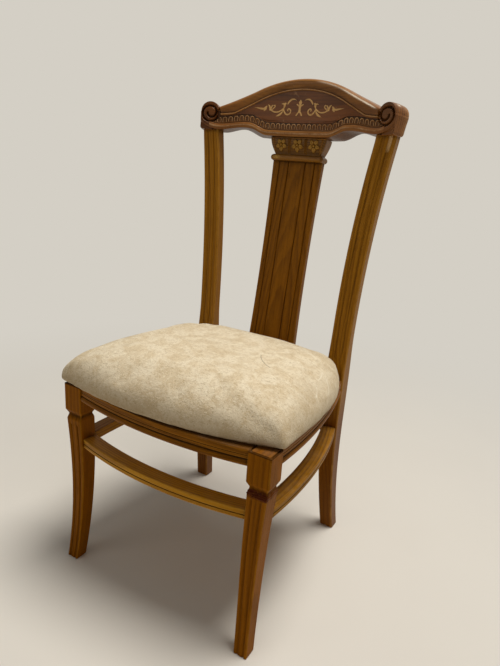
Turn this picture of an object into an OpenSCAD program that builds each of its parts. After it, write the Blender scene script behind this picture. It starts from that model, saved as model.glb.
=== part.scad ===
// Wooden dining chair: sabre front legs with a notched neck, back legs that run up
// into fluted stiles, bowed seat rails and a bowed box stretcher, a fluted splat
// under a carved capital, and a concave crest rail with scrolled ends.
// Millimetres. X runs across the chair, +Y points to its back and +Z is up.
// Lengths along Y are worked out from the front legs' front face, and every node
// is then shifted so that the chair's box is centred on the origin.

/* [Overall] */
// Width across the outer faces of the front legs
front_w = 490; // [440:1:590]
// Width across the outer faces of the back legs at the seat
back_w = 410; // [340:1:495]
// Distance from the front legs' front face to the middle of the back legs
seat_d = 415; // [345:1:500]
// Height of the top of the seat frame
seat_h = 410; // [340:1:495]
// Height of the crest rail's underside at the back legs
back_h = 931; // [860:1:1120]

/* [Front legs] */
// Width of the square block that takes the rails
leg_w = 46; // [40:1:56]
// Depth of that block
leg_d = 42; // [36:1:52]
// Height of the block
block_h = 58; // [45:1:70]
// Depth of the notch cut round the neck
neck_in = 5; // [2:0.5:7]
// Height of each slope of the neck
neck_h = 10; // [6:0.5:14]
// Width of the lower leg just under the neck
lower_w = 40; // [34:0.5:46]
// Width of the front foot
foot_w = 28; // [22:0.5:34]
// How far the foot sweeps forward
toe_forward = 22; // [0:1:30]
// How far the lower leg curves inward at its middle
leg_waist = 6; // [0:0.5:10]
// Depth of the flutes on legs and stiles
flute_deep = 1.2; // [0.4:0.1:2]
// Width of a flute
flute_w = 5; // [3:0.5:7]

/* [Back legs] */
// Width of the stile
stile_w = 44; // [36:1:50]
// Depth of the back leg at the seat rails
knee_d = 38; // [32:1:46]
// Depth of the stile above the seat
stile_d = 25; // [20:1:32]
// Width of the back foot
back_foot_w = 33; // [28:1:40]
// Depth of the back foot
back_foot_d = 30; // [24:1:36]
// How far the back feet splay sideways
foot_splay = 12; // [0:1:18]
// How far the back feet kick backward
foot_kick = 33; // [0:1:50]
// How far each stile flares outward at its top
stile_flare = 34; // [0:1:45]
// How far the stiles rake backward at their top
stile_rake = 32; // [0:1:70]

/* [Seat frame] */
// Height of the visible seat rails
rail_h = 31; // [26:1:50]
// Thickness of the seat rails
rail_t = 24; // [20:1:28]
// How far the front rail bows forward
front_bow = 22; // [6:1:40]
// How far each side rail bows outward
side_bow = 15; // [4:1:30]
// Height of the plain rear rail
rear_rail_h = 45; // [35:1:58]
// Set-back of each rail behind the legs' outer faces
rail_inset = 3; // [2:0.5:6]
// How far the bottom bead stands out of the rail
bead_out = 2; // [0:0.5:2]
// Thickness of the corner blocks
corner_h = 20; // [14:1:24]
// Length of a corner block along each rail
corner_len = 62; // [50:1:80]

/* [Stretchers] */
// Height of the stretchers' underside above the floor
stretcher_z = 272; // [180:1:290]
// Height of a stretcher
stretcher_h = 20; // [16:1:26]
// Depth of the front and side stretchers
stretcher_d = 32; // [24:1:34]
// How far the front stretcher bows forward
front_stretcher_bow = 25; // [6:1:40]
// How far each side stretcher bows outward
side_stretcher_bow = 17; // [4:1:30]
// Depth of the hidden straight rear stretcher
rear_stretcher_d = 24; // [18:1:28]

/* [Joints] */
// Thickness of the tenons
tenon_t = 9; // [6:0.5:10]
// Length of the rail tenons
tenon_len = 17; // [10:1:18]
// Length of the stretcher tenons
stretcher_tenon = 14; // [8:1:14]
// Shoulder left above and below each tenon
tenon_shoulder = 4; // [3:0.5:7]
// Clearance round tenons, dowels and screws
fit = 0.15; // [0.1:0.05:0.3]
// Diameter of the crest dowels
dowel_d = 8; // [6:0.5:10]
// Length of the crest dowels
dowel_len = 40; // [24:1:50]
// Shank diameter of the wood screws
screw_d = 4; // [3:0.5:5]
// Head diameter of the wood screws
screw_head_d = 8; // [6:0.5:9]

/* [Crest rail] */
// Thickness of the crest rail
crest_t = 42; // [32:1:46]
// Depth of the crest rail's hollow front curve
crest_sag = 42; // [10:1:60]
// Backward tilt of the crest rail in degrees
crest_tilt = 7; // [0:0.5:10]
// Rise of the crest rail's top over its underside at the back legs
crest_rise = 122; // [100:1:150]
// Radius of the arched top
arch_r = 238; // [200:1:320]
// Half width of the arched part of the top
arch_half = 115; // [90:1:130]
// Radius of the scrolls
scroll_r = 24; // [18:0.5:27]
// Height of the scroll centres over the underside
scroll_z = 43; // [34:1:52]
// Width of the rounded moulding along the top
top_mould = 21; // [12:1:26]
// Height of the cock bead along the lower edge
cock_bead = 9; // [5:0.5:12]
// Depth of the sunk panel
panel_deep = 2; // [1:0.5:4]
// Number of carved tongues along the lower edge
tongues = 29; // [15:1:35]
// Thickness of the inlay
inlay_t = 0.8; // [0.6:0.1:1.2]

/* [Splat] */
// Width of the splat
splat_w = 126; // [90:1:150]
// How far each side of the splat curves inward at its middle
splat_waist = 4; // [0:0.5:8]
// Thickness of the splat
splat_t = 15; // [10:1:18]
// Depth of the V grooves
groove_deep = 4; // [2:0.5:6]
// Height of the shoe that holds the splat's foot
shoe_h = 22; // [14:1:30]
// Height of the capital without its collar
capital_h = 36; // [28:1:46]
// Height of the half-round collar under the capital
collar_h = 15; // [10:1:20]
// Thickness of the capital
capital_t = 34; // [28:1:40]
// Set-back of the capital behind the crest rail's front face
capital_set = 8; // [2:1:10]

/* [Seat] */
// Thickness of the plywood seat board
board_t = 10; // [6:1:15]
// Distance from the pad's edge in to the board's edge
board_inset = 14; // [10:1:24]
// Height of the pad's crown over the seat frame
pad_h = 93; // [60:1:110]
// Overhang of the pad's corners in front of the front rail's ends
pad_front = 8; // [0:1:12]
// Overhang of the pad's corners beside the front legs
pad_side = 2; // [-2:0.5:6]
// Gap between the pad and the wood round it
pad_gap = 1; // [0.5:0.5:4]

/* [Hidden] */

$fn = 96;
big = 2000;
leg_color = "peru";
dark_color = "saddlebrown";

// ---- shared helpers ----
function lerp(a, b, t) = a + (b - a) * t;
function clamp01(t) = max(0, min(1, t));
function ease(t) = clamp01(t) * clamp01(t) * (3 - 2 * clamp01(t));
function steps(a, b, n) = [for (i = [0:n]) lerp(a, b, i / n)];
function reversed(p) = [for (i = [len(p) - 1:-1:0]) p[i]];

// a flat outline in X and Z, drawn right through along Y
module from_front(p) {
    rotate([90, 0, 0]) linear_extrude(big, center = true) polygon(p);
}

// a flat outline in Y and Z, drawn right through along X
module from_side(p) {
    rotate([90, 0, 90]) linear_extrude(big, center = true) polygon(p);
}

// an outline between two curves lo and hi, each a list of [across, height]
function band(lo, hi) = concat(lo, reversed(hi));

// ---- front leg: a square block, a notched neck and a swept lower leg ----
leg_x = front_w / 2 - leg_w / 2;
block_z = seat_h - block_h;
neck_z = block_z - neck_h;
lip_z = neck_z - neck_h;
sweep_power = 2.5;
taper_power = 1.4;

function lower_t(z) = clamp01(z / lip_z);
function lower_half(z) = lerp(foot_w, lower_w, pow(lower_t(z), taper_power)) / 2;
function lower_x(z) = leg_x - leg_waist * 4 * lower_t(z) * (1 - lower_t(z));
function lower_y(z) = leg_d / 2 - toe_forward * pow(1 - lower_t(z), sweep_power);

lower_zs = steps(0, lip_z, 16);
function neck_edge(mid, half, side) = [
    [mid + side * (half - neck_in), neck_z],
    [mid + side * half, block_z],
    [mid + side * half, seat_h]];
function leg_face_x(side) = concat(
    [for (z = lower_zs) [lower_x(z) + side * lower_half(z), z]],
    neck_edge(leg_x, leg_w / 2, side));
function leg_face_y(side) = concat(
    [for (z = lower_zs) [lower_y(z) + side * lower_half(z), z]],
    neck_edge(leg_d / 2, leg_d / 2, side));

module front_leg_blank() {
    intersection() {
        from_front(band(leg_face_x(-1), leg_face_x(1)));
        from_side(band(leg_face_y(-1), leg_face_y(1)));
    }
}

// two shallow flutes follow the lower leg's front face
module front_leg_flutes() {
    zs = steps(0, lip_z - neck_h, 14);
    for (side = [-1, 1]) intersection() {
        from_front(band(
            [for (z = zs) [lower_x(z) + side * lower_half(z) / 2.4 - flute_w / 2, z]],
            [for (z = zs) [lower_x(z) + side * lower_half(z) / 2.4 + flute_w / 2, z]]));
        from_side(band(
            [for (z = zs) [lower_y(z) - lower_half(z) - flute_w, z]],
            [for (z = zs) [lower_y(z) - lower_half(z) + flute_deep, z]]));
    }
}

module front_leg_right_shape() {
    difference() {
        front_leg_blank();
        front_leg_flutes();
        front_rail_tenon(fit);
        side_rail_tenons(fit);
        front_stretcher_tenon(fit);
        side_stretcher_tenons(fit);
    }
}

// ---- back leg: one piece from the foot to the crest rail ----
back_x = back_w / 2 - stile_w / 2;
kick_z = seat_h - 60;
splay_z = seat_h - 110;
stile_z = seat_h;
flare_power = 2.3;
rake_power = 1.3;
stile_top = back_h + 6;

function below(z, top) = pow(1 - clamp01(z / top), 2);
function above(z) = max(0, (z - stile_z) / (back_h - stile_z));
function stile_x(z) = back_x + foot_splay * below(z, splay_z)
    + stile_flare * pow(above(z), flare_power);
function stile_y(z) = seat_d + foot_kick * below(z, kick_z)
    + stile_rake * pow(above(z), rake_power);
function stile_half_w(z) = lerp(back_foot_w, stile_w, ease(z / seat_h)) / 2;
function stile_half_d(z) = (z < seat_h
    ? lerp(back_foot_d, knee_d, ease(z / kick_z))
    : lerp(knee_d, stile_d, ease((z - seat_h) / 110))) / 2;

stile_zs = concat(steps(0, seat_h, 14), steps(seat_h + 18, stile_top, 20));

module back_leg_blank() {
    intersection() {
        from_front(band([for (z = stile_zs) [stile_x(z) - stile_half_w(z), z]],
            [for (z = stile_zs) [stile_x(z) + stile_half_w(z), z]]));
        from_side(band([for (z = stile_zs) [stile_y(z) - stile_half_d(z), z]],
            [for (z = stile_zs) [stile_y(z) + stile_half_d(z), z]]));
    }
}

module stile_flutes() {
    zs = steps(seat_h + 40, back_h - 6, 18);
    for (side = [-1, 1]) intersection() {
        from_front(band(
            [for (z = zs) [stile_x(z) + side * stile_w / 5 - flute_w / 2, z]],
            [for (z = zs) [stile_x(z) + side * stile_w / 5 + flute_w / 2, z]]));
        from_side(band(
            [for (z = zs) [stile_y(z) - stile_half_d(z) - flute_w, z]],
            [for (z = zs) [stile_y(z) - stile_half_d(z) + flute_deep, z]]));
    }
}

module back_leg_right_shape() {
    difference() {
        back_leg_blank();
        stile_flutes();
        crest_frame() translate([-big / 2, -big / 2, 0]) cube([big, big, big]);
        stile_dowels(fit);
        side_rail_tenons(fit);
        rear_rail_tenon(fit);
        side_stretcher_tenons(fit);
        rear_stretcher_tenon(fit);
    }
}

// ---- bowed bars: rails and stretchers are arcs between two points in plan ----
function bow_r(chord, bow) = (chord * chord / 4 + bow * bow) / (2 * bow);

// sweeps the flat section (outward, up) along the arc from p0 to p1, which bows
// to the right of the way from p0 to p1; over is the extra length at each end
module bowed(p0, p1, bow, z, over) {
    chord = norm(p1 - p0);
    r = bow_r(chord, bow);
    way = (p1 - p0) / chord;
    out = [way[1], -way[0]];
    mid = (p0 + p1) / 2 + out * (bow - r);
    half = asin((chord / 2 + over) / r);
    translate([mid[0], mid[1], z]) rotate([0, 0, atan2(out[1], out[0]) - half])
        rotate_extrude(angle = 2 * half, $fn = 360) translate([r, 0]) children();
}

// moulded rail: a flat band over a groove and a half-round bead
rail_z = seat_h - rail_h;
bead_r = 6;
module rail_section() {
    arc = [for (a = steps(-90, 90, 8))
        [-bead_r / 2 + (bead_r / 2 + bead_out) * cos(a), bead_r + bead_r * sin(a)]];
    groove = 2 * bead_r;
    polygon(concat([[-rail_t, 0]], arc,
        [[-bead_r / 2, groove + 1], [0, groove + 3], [0, rail_h], [-rail_t, rail_h]]));
}

// stretcher: a flat board with one lengthwise groove in its outer edge
module stretcher_section() {
    round_over = 2;
    mid_z = stretcher_h / 2;
    polygon([[-stretcher_d, 0], [-round_over, 0], [0, round_over], [0, mid_z - 2],
        [-1.5, mid_z], [0, mid_z + 2], [0, stretcher_h - round_over],
        [-round_over, stretcher_h], [-stretcher_d, stretcher_h]]);
}

// a tenon of the given length that starts at p and points along the angle
module tenon(p, angle, length, z, h, play) {
    translate([p[0], p[1], z]) rotate([0, 0, angle])
        translate([-tenon_t, -tenon_t / 2 - play, tenon_shoulder - play])
            cube([length + tenon_t + play, tenon_t + 2 * play, h - 2 * tenon_shoulder + 2 * play]);
}

front_rail_x = leg_x - leg_w / 2;
module front_rail_tenon(play) {
    tenon([front_rail_x, rail_inset + rail_t / 2], 0, tenon_len, rail_z, rail_h, play);
}

module front_seat_rail() {
    color(leg_color) framed() difference() {
        union() {
            intersection() {
                bowed([-front_rail_x, rail_inset], [front_rail_x, rail_inset],
                    front_bow, rail_z, 4) rail_section();
                translate([-front_rail_x, -big / 2, 0]) cube([2 * front_rail_x, big, big]);
            }
            both_sides() front_rail_tenon(0);
        }
        both_sides() corner_screws(fit);
    }
}

// plan points of the side rail's outer face at the two legs
side_front = [front_w / 2 - rail_inset, leg_d];
side_back = [back_w / 2 - rail_inset, seat_d - knee_d / 2];
side_angle = atan2(side_back[1] - side_front[1], side_back[0] - side_front[0]);

// point inward of the line between two plan points, by a distance
function inside(p, angle, dist) = p + dist * [-sin(angle), cos(angle)];

module side_rail_tenons(play) {
    tenon(inside(side_front, side_angle, rail_t / 2), side_angle + 180, tenon_len,
        rail_z, rail_h, play);
    tenon(inside(side_back, side_angle, rail_t / 2), side_angle, tenon_len,
        rail_z, rail_h, play);
}

module side_rail_body() {
    intersection() {
        bowed(side_front, side_back, side_bow, rail_z, 4) rail_section();
        translate([0, side_front[1], 0]) cube([big, side_back[1] - side_front[1], big]);
    }
}

module side_seat_rail_shape() {
    difference() {
        union() {
            side_rail_body();
            side_rail_tenons(0);
        }
        corner_screws(fit);
    }
}

// the straight rear rail stands between the back legs, under the splat's shoe
rear_rail_z = seat_h - rear_rail_h;
rear_rail_y = seat_d + (knee_d - rail_t) / 2;
module rear_rail_tenon(play) {
    tenon([back_x - stile_w / 2, rear_rail_y], 0, tenon_len, rear_rail_z, rear_rail_h, play);
}

module rear_seat_rail() {
    color(leg_color) framed() difference() {
        union() {
            difference() {
                translate([-back_x, rear_rail_y - rail_t / 2, rear_rail_z])
                    cube([2 * back_x, rail_t, rear_rail_h]);
                both_sides() back_leg_blank();
            }
            both_sides() rear_rail_tenon(0);
        }
        both_sides() corner_screws(fit);
    }
}

// ---- stretchers ----
stretcher_mid = stretcher_z + stretcher_h / 2;
stretcher_inset = 5;
front_stretcher_x = lower_x(stretcher_mid) - lower_half(stretcher_mid);
front_stretcher_y = lower_y(stretcher_mid) - lower_half(stretcher_mid) + stretcher_inset;

module front_stretcher_tenon(play) {
    tenon([front_stretcher_x, front_stretcher_y + stretcher_d / 2 - tenon_shoulder], 0,
        stretcher_tenon, stretcher_z, stretcher_h, play);
}

module front_stretcher() {
    color(leg_color) framed() union() {
        difference() {
            bowed([-front_stretcher_x, front_stretcher_y],
                [front_stretcher_x, front_stretcher_y], front_stretcher_bow,
                stretcher_z, tenon_len) stretcher_section();
            both_sides() front_leg_blank();
            both_sides() translate([front_stretcher_x + 2, -big / 2, 0]) cube(big);
        }
        both_sides() front_stretcher_tenon(0);
    }
}

stretcher_front = [lower_x(stretcher_mid) + lower_half(stretcher_mid) - 1,
    lower_y(stretcher_mid) + lower_half(stretcher_mid)];
stretcher_back = [stile_x(stretcher_mid) + stile_half_w(stretcher_mid) - 3,
    stile_y(stretcher_mid) - stile_half_d(stretcher_mid)];
stretcher_angle = atan2(stretcher_back[1] - stretcher_front[1],
    stretcher_back[0] - stretcher_front[0]);

module side_stretcher_tenons(play) {
    tenon(inside(stretcher_front, stretcher_angle, stretcher_d / 2),
        stretcher_angle + 180, stretcher_tenon, stretcher_z, stretcher_h, play);
    tenon(inside(stretcher_back, stretcher_angle, stretcher_d / 2),
        stretcher_angle, stretcher_tenon, stretcher_z, stretcher_h, play);
}

module side_stretcher_shape() {
    difference() {
        intersection() {
            bowed(stretcher_front, stretcher_back, side_stretcher_bow,
                stretcher_z, tenon_len) stretcher_section();
            translate([0, stretcher_front[1] - 2, 0])
                cube([big, stretcher_back[1] - stretcher_front[1] + 4, big]);
        }
        front_leg_blank();
        back_leg_blank();
    }
    side_stretcher_tenons(0);
}

rear_stretcher_y = stile_y(stretcher_mid);
rear_stretcher_x = stile_x(stretcher_mid) - stile_half_w(stretcher_mid);
module rear_stretcher_tenon(play) {
    tenon([rear_stretcher_x, rear_stretcher_y], 0, stretcher_tenon,
        stretcher_z, stretcher_h, play);
}

module rear_stretcher() {
    color(leg_color) framed() union() {
        difference() {
            translate([-back_x, rear_stretcher_y - rear_stretcher_d / 2, stretcher_z])
                cube([2 * back_x, rear_stretcher_d, stretcher_h]);
            both_sides() back_leg_blank();
        }
        both_sides() rear_stretcher_tenon(0);
    }
}

// ---- corner blocks, glued and screwed inside the seat frame ----
corner_z = seat_h - corner_h - 2;

// plan corners where the seat frame's inner faces meet
front_corner = [front_rail_x, leg_d];
rear_corner = [back_x - stile_w / 2, seat_d - knee_d / 2];

// a triangle of wood whose long side faces the middle of the seat
module corner_wedge(p, back) {
    translate([p[0], p[1], corner_z]) linear_extrude(corner_h)
        polygon([[leg_w, -back * leg_d], [-corner_len, -back * leg_d], [-corner_len, 0],
            [0, back * corner_len], [leg_w, back * corner_len]]);
}

// the curved space outside the side rail's inner face
module beyond_side_rail() {
    bowed(side_front, side_back, side_bow, 0, leg_d)
        translate([-rail_t - fit, 0]) square([rail_t + leg_w, big]);
}

module corner_front_shape() {
    difference() {
        corner_wedge(front_corner, 1);
        bowed([-front_rail_x, rail_inset], [front_rail_x, rail_inset], front_bow,
            0, leg_w) translate([-rail_t - fit, 0]) square([rail_t + leg_d, big]);
        beyond_side_rail();
        front_leg_blank();
        corner_screws(fit);
        seat_screw_pair(fit);
    }
}

module corner_rear_shape() {
    difference() {
        corner_wedge(rear_corner, -1);
        translate([0, rear_rail_y - rail_t / 2 - fit, 0]) cube([big, big, big]);
        beyond_side_rail();
        back_leg_blank();
        corner_screws(fit);
        seat_screw_pair(fit);
    }
}

// one countersunk wood screw that points up, its head's face at the origin; with
// play it is the screw's hole, with a counterbore that lets the driver in
screw_rim = 0.6;
module wood_screw(length, play) {
    head_h = screw_head_d / 4;
    rotate_extrude() polygon([[0, 0], [screw_head_d / 2 + play, 0],
        [screw_head_d / 2 + play, screw_rim], [screw_d / 2 + play, head_h],
        [screw_d / 2 + play, length - screw_d + play], [0, length + play]]);
    if (play > 0) translate([0, 0, -screw_head_d])
        cylinder(h = screw_head_d + screw_rim, r = screw_head_d / 2 + play);
}

// across the inner faces of the bowed rails
function front_rail_in(x) = rail_inset + rail_t - front_bow * (1 - pow(x / front_rail_x, 2));
function side_rail_in(y) = let (t = (y - side_front[1]) / (side_back[1] - side_front[1]))
    lerp(side_front[0], side_back[0], t) + side_bow * 4 * t * (1 - t) - rail_t;

// the two screws of each corner block run level into the two rails
screw_z = corner_z + corner_h / 2;
screw_bite = rail_t / 2;
screw_sunk = 4;
module corner_screws(play) {
    along = corner_len * 0.75;
    near = corner_len - along - screw_sunk;
    x_front = front_corner[0] - along;
    y_front = front_corner[1] + along;
    x_rear = rear_corner[0] - along;
    y_rear = rear_corner[1] - along;
    translate([x_front, front_corner[1] + near, screw_z]) rotate([90, 0, 0])
        wood_screw(front_corner[1] + near - front_rail_in(x_front) + screw_bite, play);
    translate([front_corner[0] - near, y_front, screw_z]) rotate([0, 90, 0])
        wood_screw(side_rail_in(y_front) - front_corner[0] + near + screw_bite, play);
    translate([x_rear, rear_corner[1] - near, screw_z]) rotate([-90, 0, 0])
        wood_screw(rear_rail_y - rail_t / 2 - rear_corner[1] + near + screw_bite, play);
    translate([rear_corner[0] - near, y_rear, screw_z]) rotate([0, 90, 0])
        wood_screw(side_rail_in(y_rear) - rear_corner[0] + near + screw_bite, play);
}

// the seat screws come up through the corner blocks into the seat board
seat_screw_len = corner_h + 8;
seat_screw_in = corner_len * 0.38;
module seat_screw_pair(play) {
    for (p = [front_corner + [-seat_screw_in / 2, seat_screw_in],
            rear_corner + [-seat_screw_in / 2, -seat_screw_in]])
        translate([p[0], p[1], corner_z]) wood_screw(seat_screw_len, play);
}

// ---- crest rail ----
// the crest rail's own frame: X across, Y along its thickness from the front face
// at the middle, and Z up from its underside, tilted back with the stiles
crest_half = stile_x(back_h) - 2;
crest_r = bow_r(2 * crest_half, crest_sag);
crest_mid_r = crest_r + crest_t / 2;
crest_forward = 2;
crest_y = stile_y(back_h) + crest_mid_r - sqrt(pow(crest_mid_r, 2) - pow(crest_half, 2))
    - crest_t / 2 - crest_forward;
module crest_frame() {
    translate([0, crest_y, back_h]) rotate([-crest_tilt, 0, 0]) children();
}

// the part of a shape that lies between two depths under the hollow front face
module crest_layer(from, to) {
    translate([0, -crest_r, -big / 2]) difference() {
        cylinder(h = big, r = crest_r + to, $fn = 720);
        translate([0, 0, -1]) cylinder(h = big + 2, r = crest_r + from, $fn = 720);
        translate([-big, -big + crest_r / 2, -1]) cube([2 * big, big, big + 2]);
    }
}

arch_z = crest_rise - arch_r + sqrt(pow(arch_r, 2) - pow(arch_half, 2));
scroll_join = crest_half - scroll_r * cos(28);
scroll_join_z = scroll_z + scroll_r * sin(28);
function crest_top(x) = abs(x) < arch_half
    ? crest_rise - arch_r + sqrt(pow(arch_r, 2) - x * x)
    : lerp(arch_z, scroll_join_z, (abs(x) - arch_half) / (scroll_join - arch_half));

// the lower edge: a flat over the capital, a rise each side, and the stiles
flat_half = splat_w / 2 + 31;
flat_drop = 4;
cusp_x = lerp(flat_half, crest_half - stile_w / 2, 0.47);
cusp_z = 12;
stile_in = crest_half - stile_w / 2 - 4;
function crest_low(x) = abs(x) < cusp_x
    ? lerp(-flat_drop, cusp_z, ease((abs(x) - flat_half) / (cusp_x - flat_half)))
    : lerp(cusp_z, 0, ease((abs(x) - cusp_x) / (stile_in - cusp_x)));

lower_xs = concat(steps(-stile_in, -flat_half, 14), steps(flat_half, stile_in, 14));
upper_xs = concat([scroll_join - 1], steps(arch_half, -arch_half, 24), [1 - scroll_join]);
crest_outline = concat(
    [[-crest_half, 0]],
    [for (x = lower_xs) [x, crest_low(x)]],
    [[crest_half, 0], [crest_half, scroll_join_z]],
    [for (x = upper_xs) [x, crest_top(x)]],
    [[-crest_half, scroll_join_z]]);

// a strip of the front face between two heights over or under the edges
panel_xs = steps(-scroll_join, scroll_join, 48);
module edge_strip(lo, hi, from, to) {
    intersection() {
        from_front(band([for (x = panel_xs) [x, lo[0] * crest_low(x) + lo[1] * crest_top(x) + lo[2]]],
            [for (x = panel_xs) [x, hi[0] * crest_low(x) + hi[1] * crest_top(x) + hi[2]]]));
        crest_layer(from, to);
    }
}

// carved tongues stand in the sunk field just over the cock bead
tongue_r = 3.6;
module crest_tongues() {
    reach = scroll_join - 14;
    for (x = steps(-reach, reach, tongues - 1)) intersection() {
        translate([x, 0, crest_low(x) + cock_bead + tongue_r + 2])
            rotate([90, 0, 0]) cylinder(h = 2 * crest_sag + 20, r = tongue_r, center = true, $fn = 24);
        crest_layer(-0.6, panel_deep + 1);
    }
}

// places children at the scroll, square to the curved front face
module at_scroll() {
    translate([0, -crest_r, 0]) rotate([0, 0, -asin(crest_half / crest_r)])
        translate([0, crest_r, 0]) children();
}

// the end of the rail runs square through its thickness, over the back leg; its
// two faces stand a little inside the curved ones
end_set = 0.4;
module crest_end_block() {
    ear = stile_w / 2 - 4;
    at_scroll() {
        translate([0, end_set, scroll_z]) rotate([-90, 0, 0])
            cylinder(h = crest_t - 2 * end_set, r = scroll_r);
        translate([0, crest_t - end_set, 0]) rotate([90, 0, 0])
            linear_extrude(crest_t - 2 * end_set)
            polygon([[-ear, 0], [ear, 0], [scroll_r - 3, scroll_z * 0.6], [0, scroll_z],
                [-ear, scroll_z]]);
    }
}

// stepped disc that ends in the eye of the scroll
module scroll_disc() {
    at_scroll() translate([0, 0, scroll_z]) rotate([90, 0, 0]) {
        difference() {
            translate([0, 0, -6]) cylinder(h = 8, r = scroll_r - 2);
            cylinder(h = 4, r = scroll_r - 7);
        }
        translate([0, 0, -6]) cylinder(h = 8.5, r = scroll_r - 12);
    }
}

module crest_rail() {
    color(dark_color) framed() difference() {
        union() {
            crest_frame() {
                difference() {
                    intersection() {
                        from_front(crest_outline);
                        crest_layer(0, crest_t);
                    }
                    edge_strip([1, 0, cock_bead], [0, 1, -top_mould], -1, panel_deep);
                }
                edge_strip([1, 0, 1], [1, 0, cock_bead - 1], -1.5, 1);
                edge_strip([0, 1, -top_mould - 0.5], [0, 1, -top_mould + 2.5], -1, 3);
                crest_tongues();
                both_sides() {
                    crest_end_block();
                    scroll_disc();
                }
            }
        }
        crest_frame() inlay_shape(fit);
        both_sides() stile_dowels(fit);
        capital_dowels(fit);
    }
}

// ---- inlay: a vase between two mirrored scrolls, let into the sunk panel ----
inlay_z = (crest_rise + cock_bead) / 2 - 6;

module half_ring(r, w, a0, a1) {
    rotate(a0) difference() {
        circle(r = r + w / 2);
        circle(r = r - w / 2);
        rotate(a1 - a0) translate([-4 * r, 0]) square([8 * r, 4 * r]);
        translate([-4 * r, -4 * r]) square([8 * r, 4 * r]);
    }
}

module leaf(length, w) {
    polygon([[0, -w / 3], [length * 0.35, -w / 2], [length, 0],
        [length * 0.35, w / 2], [0, w / 3]]);
}

module inlay_outline() {
    polygon([[-5, -15], [5, -15], [2, -10], [5, 0], [5, 5], [2, 8], [4, 12],
        [0, 18], [-4, 12], [-2, 8], [-5, 5], [-5, 0], [-2, -10]]);
    for (side = [0, 1]) mirror([side, 0, 0]) {
        translate([20, -1]) half_ring(8, 3, 100, 279);
        translate([38, 4]) half_ring(14, 3, 190, 340);
        translate([28, 8]) rotate(100) leaf(16, 5);
        translate([36, -9]) rotate(-60) leaf(12, 5);
        translate([54, -2]) rotate(50) leaf(15, 7);
        translate([57, 0]) rotate(4) leaf(20, 5);
        translate([80, 1]) rotate(6) leaf(26, 6);
    }
}

// play deepens the pocket under the inlay and opens it to the front
module inlay_shape(play) {
    intersection() {
        translate([0, 0, inlay_z]) rotate([90, 0, 0])
            linear_extrude(big, center = true) inlay_outline();
        crest_layer(panel_deep - 8 * play, panel_deep + inlay_t + play);
    }
}

module crest_inlay() {
    color("burlywood") framed() crest_frame() inlay_shape(0);
}

// ---- dowels ----
module stile_dowels(play) {
    crest_frame() for (side = [-1, 1])
        translate([stile_x(back_h) + side * stile_w / 4,
            stile_y(back_h) - crest_y, -dowel_len / 2 - play])
            cylinder(h = dowel_len + 2 * play, r = dowel_d / 2 + play, $fn = 32);
}

capital_dowel_len = 24;
module capital_dowels(play) {
    crest_frame() for (side = [-1, 1])
        translate([side * splat_w / 4, capital_set + capital_t / 2,
            -flat_drop - capital_dowel_len / 2 - play])
            cylinder(h = capital_dowel_len + 2 * play, r = dowel_d / 2 - 1 + play, $fn = 32);
}

module crest_dowels() {
    color("tan") framed() {
        both_sides() stile_dowels(0);
        capital_dowels(0);
    }
}

// ---- capital, with its collar, tilted with the crest rail ----
capital_top = -flat_drop;
capital_low = capital_top - capital_h;
capital_half = splat_w / 2 + 5;
capital_in = 12;
collar_mid = capital_low - collar_h / 2;
collar_half = splat_w / 2 - 3;

module capital_blank() {
    crest_frame() {
        intersection() {
            from_front([[-capital_half + capital_in, capital_low - 1],
                [capital_half - capital_in, capital_low - 1],
                [capital_half - capital_in / 2, lerp(capital_low, capital_top, 0.4)],
                [capital_half, capital_top], [-capital_half, capital_top],
                [-capital_half + capital_in / 2, lerp(capital_low, capital_top, 0.4)]]);
            translate([-big / 2, capital_set, -big / 2]) cube([big, capital_t, big]);
        }
        // three square bosses, where the rosettes are carved
        for (i = [-1:1])
            translate([i * splat_w / 3.1, capital_set, lerp(capital_low, capital_top, 0.55)])
            rotate([90, 0, 0]) cylinder(h = 3, r1 = 11, r2 = 8, center = true);
        collar();
    }
}

// a half-round bead round the front and both sides of the capital's foot
module collar() {
    r = collar_h / 2;
    front = capital_set + r - 4;
    back = capital_set + capital_t - front;
    translate([-collar_half, front, collar_mid - r]) cube([2 * collar_half, back, collar_h]);
    translate([0, front, collar_mid]) rotate([0, 90, 0])
        cylinder(h = 2 * collar_half, r = r, center = true);
    for (side = [-1, 1]) translate([side * collar_half, front, collar_mid]) {
        rotate([-90, 0, 0]) cylinder(h = back, r = r);
        sphere(r = r);
    }
}

module splat_capital() {
    color(dark_color) framed() difference() {
        capital_blank();
        splat_tenon(fit);
        capital_dowels(fit);
    }
}

// ---- splat: a waisted board with four V grooves, tenoned at both ends ----
// ends of the splat's front face, as [back, up]
shoe_top = seat_h + shoe_h;
shoe_taper = 2;
splat_foot = [rear_rail_y - splat_t / 2 + shoe_taper / 2, shoe_top];
splat_head_z = collar_mid - collar_h / 2;
splat_head_y = capital_set + capital_t - splat_t - 7;
splat_head = [crest_y + splat_head_y * cos(crest_tilt) + splat_head_z * sin(crest_tilt),
    back_h + splat_head_z * cos(crest_tilt) - splat_head_y * sin(crest_tilt)];
splat_tongue = 12;
function splat_y(z) = let (t = (z - splat_foot[1]) / (splat_head[1] - splat_foot[1]))
    lerp(splat_foot[0], splat_head[0], t);
function splat_half(z) = let (t = clamp01((z - splat_foot[1]) / (splat_head[1] - splat_foot[1])))
    splat_w / 2 - splat_waist * 4 * t * (1 - t);

// the board between two heights, between two depths behind its front face, and
// pulled in at each side
module splat_slab(z0, z1, front, back, pull) {
    zs = steps(z0, z1, 16);
    intersection() {
        from_side(band([for (z = [z0, z1]) [splat_y(z) + front, z]],
            [for (z = [z0, z1]) [splat_y(z) + back, z]]));
        from_front(band([for (z = zs) [pull - splat_half(z), z]],
            [for (z = zs) [splat_half(z) - pull, z]]));
    }
}

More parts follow.
